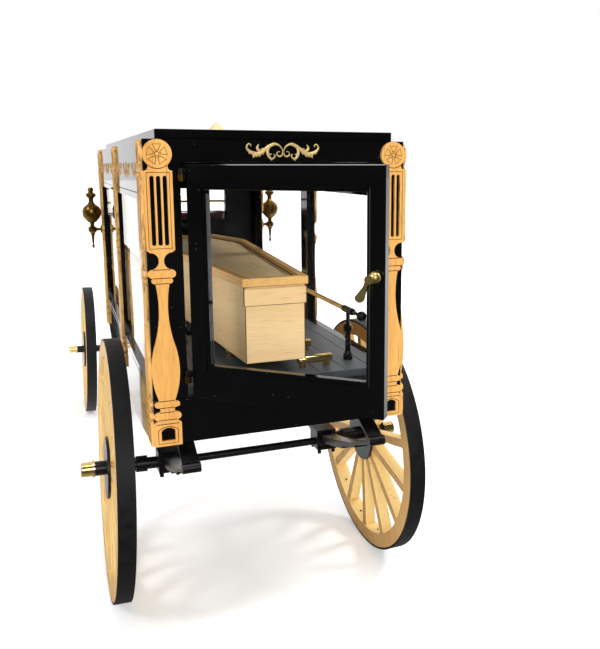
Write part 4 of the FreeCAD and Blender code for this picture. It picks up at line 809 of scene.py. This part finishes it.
joint_of = {joint["child"]: joint for joint in record["behaviour"]["joints"]}
root_in = 0.0063  # from the rim's outer edge to a pin's root, just under the inner face
for end, spokes in (("rear", 14), ("front", 12)):
    for side, sign in (("left", -1), ("right", 1)):
        name = f"{end}_{side}"
        wear(f"hub_{name}", ironwork)
        wear(f"tyre_{name}", tyre_black)
        wear(f"wheel_{name}", wheel_wood)
        low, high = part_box(f"wheel_{name}")
        root = (high[2] - low[2]) / 2 - root_in
        seed = mesh_piece(f"pins_{name}_seed", *pin_head(radius=0.0005, height=0.0005, sides=10))
        seed.data.transform(Matrix.Translation((root, 0.0, 0.0))
                            @ Matrix.Rotation(math.radians(-90), 4, "Y"))
        pins = grown(f"pins_{name}", seed, turned_copies, Count=spokes,
                     Angle=2 * math.pi / spokes, Start=math.pi / spokes, Finish=ironwork)
        joint = joint_of[f"{name}_wheel"]
        outward = Vector(joint["axis"]) * sign
        lean = outward.angle(Vector((0.0, 0.0, 1.0))) * sign
        pins.data.transform(Matrix.Translation(Vector(joint["pos_m"]))
                            @ Matrix.Rotation(lean, 4, "Y"))
        finished(pins, f"{name}_wheel", "black_metal")


# The coffin: bare basswood, its sides and end of flat boards. The lid has a mitred rim of
# oiled wood round a duller sunk panel. Dark lines mark the glued mitres and the end's corners, and
# lines of painted shadow lie in the gaps under the lid, round the sunk panel and round the end
# band.

crossways = (0.0, math.pi / 2, 0.0)
chest_tones = (colour(246, 213, 158), colour(230, 193, 136), colour(190, 142, 90))
chest_wood = bare_wood("coffin_chest_wood", *chest_tones, lengthways, fibres=2200.0,
                       figures=60.0)
end_wood = bare_wood("coffin_end_wood", *chest_tones, crossways, fibres=2600.0,
                     figures=60.0)
rim_tones = (colour(238, 194, 120), colour(212, 158, 86), colour(130, 82, 36))
rim_wood = bare_wood("coffin_rim_wood", *rim_tones, lengthways, fibres=1500.0,
                     figures=140.0)
panel_tones = (colour(250, 222, 166), colour(232, 196, 138), colour(170, 130, 80))
panel_wood = bare_wood("coffin_panel_wood", *panel_tones, lengthways, fibres=900.0,
                       figures=50.0)
chest = eased("coffin", chest_wood, width=0.00015)
chest.data.materials.append(end_wood)
for face in chest.data.polygons:
    looks_back = face.normal.y < -0.7
    if looks_back:
        face.material_index = 1
lid = eased("coffin_lid", rim_wood, width=0.00015)
lid.data.materials.append(panel_wood)
below_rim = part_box("coffin_lid")[1][2] - 0.001
for face in lid.data.polygons:
    looks_up = face.normal.z > 0.9
    if looks_up and face.center.z < below_rim:
        face.material_index = 1

# Dark line colour: the glued joints' colour, also used as painted shadow in the coffin's gaps.
glue_and_shadow, tree, shader, place = start_finish("glue_and_shadow_line")
tree.links.new(blend(tree, speckle(tree, place.outputs["Object"], 1200.0), colour(96, 60, 26),
                     colour(58, 36, 16)), shader.inputs["Base Color"])
shader.inputs["Roughness"].default_value = 0.8


def levels_of(node):
    """The heights at which a node's solid has corners, from the lowest up."""
    return sorted({round(vertex.co.z, 5) for vertex in nodes[node].data.vertices})


def corners_at(node, height):
    """The corners of a node's solid at one height, in order round its middle."""
    found = {(round(vertex.co.x, 5), round(vertex.co.y, 5)) for vertex in nodes[node].data.vertices
             if abs(vertex.co.z - height) < 0.00005}
    middle_y = sum(y for _, y in found) / len(found)
    return sorted(found, key=lambda corner: math.atan2(corner[1] - middle_y, corner[0]))


def glue_and_shadow_lines(name, lines, radius):
    """Dark lines along joints of the coffin, some glued, some painted shadow in a gap."""
    drawn(name, lines, radius, sides=6, finish=glue_and_shadow, slot="coffin_wood")


lid_foot, panel_high, lid_top = levels_of("coffin_lid")[:3]
band_low = levels_of("coffin")[1]
chest_low, chest_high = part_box("coffin")
outer = corners_at("coffin_lid", lid_foot)
inner = corners_at("coffin_lid", panel_high)
under = corners_at("coffin", chest_high[2])
mitre_z = lid_top - 0.0001
mitres = [([(near_x, near_y, mitre_z), (far_x, far_y, mitre_z)], False)
          for (near_x, near_y), (far_x, far_y) in zip(inner, outer)]
glue_and_shadow_lines("coffin_lid_mitres", mitres, radius=0.00016)

foot_y = min(y for _, y in under)
end_half = max(x for x, y in under if y < foot_y + 0.001)
band_half, band_y = end_half + 0.0004, chest_low[1] + 0.0005
# Painted shadow: dark lines in the gaps under the lid, round the sunk panel, under the end band and
# down its sides.
joints = [([(x, y, lid_foot) for x, y in under], True),
          ([(x, y, panel_high) for x, y in inner], True),
          ([(-end_half, foot_y, band_low), (end_half, foot_y, band_low)], False)]
for side in (-1, 1):
    joints.append(([(side * band_half, band_y, band_low),
                    (side * band_half, band_y, lid_foot)], False))
glue_and_shadow_lines("coffin_joint_shadow_lines", joints, radius=0.00032)
corners = [([(side * end_half, foot_y, chest_low[2] + 0.0003),
             (side * end_half, foot_y, band_low)], False) for side in (-1, 1)]
glue_and_shadow_lines("coffin_corner_lines", corners, radius=0.00018)


# The rollers that the coffin runs in on: brass bars in small feet. They end under its left
# side, the first one under its foot end, and show only beyond its right side.

bars = eased("rollers", brass, width=0.0001, smooth=40)
roller_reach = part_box("rollers")[1][0]
shoulder_half, shoulder_y = max(under, key=lambda corner: corner[0])
first_end, inset = -0.0105, 0.0015
for vertex in bars.data.vertices:
    if vertex.co.x < 0:
        share = min(1.0, max(0.0, (vertex.co.y - foot_y) / (shoulder_y - foot_y)))
        coffin_half = end_half + (shoulder_half - end_half) * share
        half = coffin_half - inset if share > 0.1 else first_end
        vertex.co.x += max(0.0, roller_reach - half)


# The driver's cushions: dark red-brown leather over a full stuffing, with a welt sewn
# round each edge.

leather = metal("seat_leather", colour(92, 40, 30), colour(66, 28, 22),
                rough=(0.4, 0.56), metallic=0.0, grit=700.0, marks=0.5, gloss=0.4)


def swell(holder, cap):
    """Blows an object's mesh up like cloth under pressure, by no more than cap anywhere."""
    frames = 20
    rest = [vertex.co.copy() for vertex in holder.data.vertices]
    cloth = holder.modifiers.new("stuffing", "CLOTH")
    cloth.settings.quality = 4
    cloth.settings.use_pressure = True
    cloth.settings.uniform_pressure_force = 4.0
    cloth.settings.effector_weights.gravity = 0.0
    cloth.point_cache.frame_start = 1
    cloth.point_cache.frame_end = frames
    for step in range(1, frames + 1):
        bpy.context.scene.frame_set(step)
    swollen = baked(holder)
    holder.modifiers.clear()
    bpy.context.scene.frame_set(1)
    for vertex, start in zip(swollen.vertices, rest):
        move = vertex.co - start
        if move.length > cap:
            vertex.co = start + move.normalized() * cap
    holder.data = swollen


def stuffed(node, shrink, cap):
    """A cushion in the space of its plain solid, stuffed at twelve times its size."""
    full_size = 12.0
    low, high = (Vector(corner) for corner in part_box(node))
    middle = (low + high) / 2
    half = (high - low) / 2 * full_size - Vector((shrink, shrink, shrink))
    form = bmesh.new()
    bmesh.ops.create_cube(form, size=2.0)
    bmesh.ops.scale(form, vec=half, verts=form.verts)
    mesh = bpy.data.meshes.new(node + "_leather")
    form.to_mesh(mesh)
    form.free()
    holder = put(node + "_leather", mesh)
    easing = holder.modifiers.new("easing", "BEVEL")
    easing.width = min(half) * 0.45
    easing.segments = 4
    blocks = holder.modifiers.new("blocks", "REMESH")
    blocks.mode = "VOXEL"
    blocks.voxel_size = 0.011
    cover = baked(holder)
    holder.modifiers.clear()
    holder.data = cover
    swell(holder, cap)
    fine = holder.modifiers.new("fine", "SUBSURF")
    fine.levels = fine.render_levels = 1
    shape = baked(holder)
    bpy.data.objects.remove(holder)
    for vertex in shape.vertices:
        vertex.co = middle + vertex.co / full_size
        for axis in range(3):
            vertex.co[axis] = min(max(vertex.co[axis], low[axis]), high[axis])
    shape.shade_smooth()
    shape.materials.clear()
    shape.materials.append(leather)
    piece = put(node + "_padded", shape)
    finished(piece, "body", "leather", node)


def welt(name, corners):
    """A sewn cord of leather round a cushion, through four corners in one plane."""
    turn_radius, steps = 0.002, 4
    points = []
    for index, corner in enumerate(corners):
        here = Vector(corner)
        before = (Vector(corners[index - 1]) - here).normalized()
        after = (Vector(corners[(index + 1) % 4]) - here).normalized()
        for step in range(steps + 1):
            t = step / steps
            points.append(tuple(here + before * turn_radius * (1 - t) ** 2
                                + after * turn_radius * t * t))
    drawn(name, [(points, True)], radius=0.0004, sides=8, finish=leather, slot="leather")


stuffed("seat_cushion", shrink=0.008, cap=0.012)
stuffed("seat_back", shrink=0.006, cap=0.010)

welt_inset, welt_height = 0.0007, 0.0018
low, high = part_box("seat_cushion")
left, right = low[0] + welt_inset, high[0] - welt_inset
back, front = low[1] + welt_inset, high[1] - welt_inset
for name, height in (("lower", low[2] + welt_height), ("upper", high[2] - welt_height)):
    welt(f"seat_welt_{name}", [(left, back, height), (right, back, height),
                               (right, front, height), (left, front, height)])
low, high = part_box("seat_back")
left, right = low[0] + welt_inset, high[0] - welt_inset
foot, top = low[2] + welt_inset, high[2] - welt_inset
middle_y = (low[1] + high[1]) / 2
welt("seat_back_welt", [(left, middle_y, foot), (right, middle_y, foot),
                        (right, middle_y, top), (left, middle_y, top)])
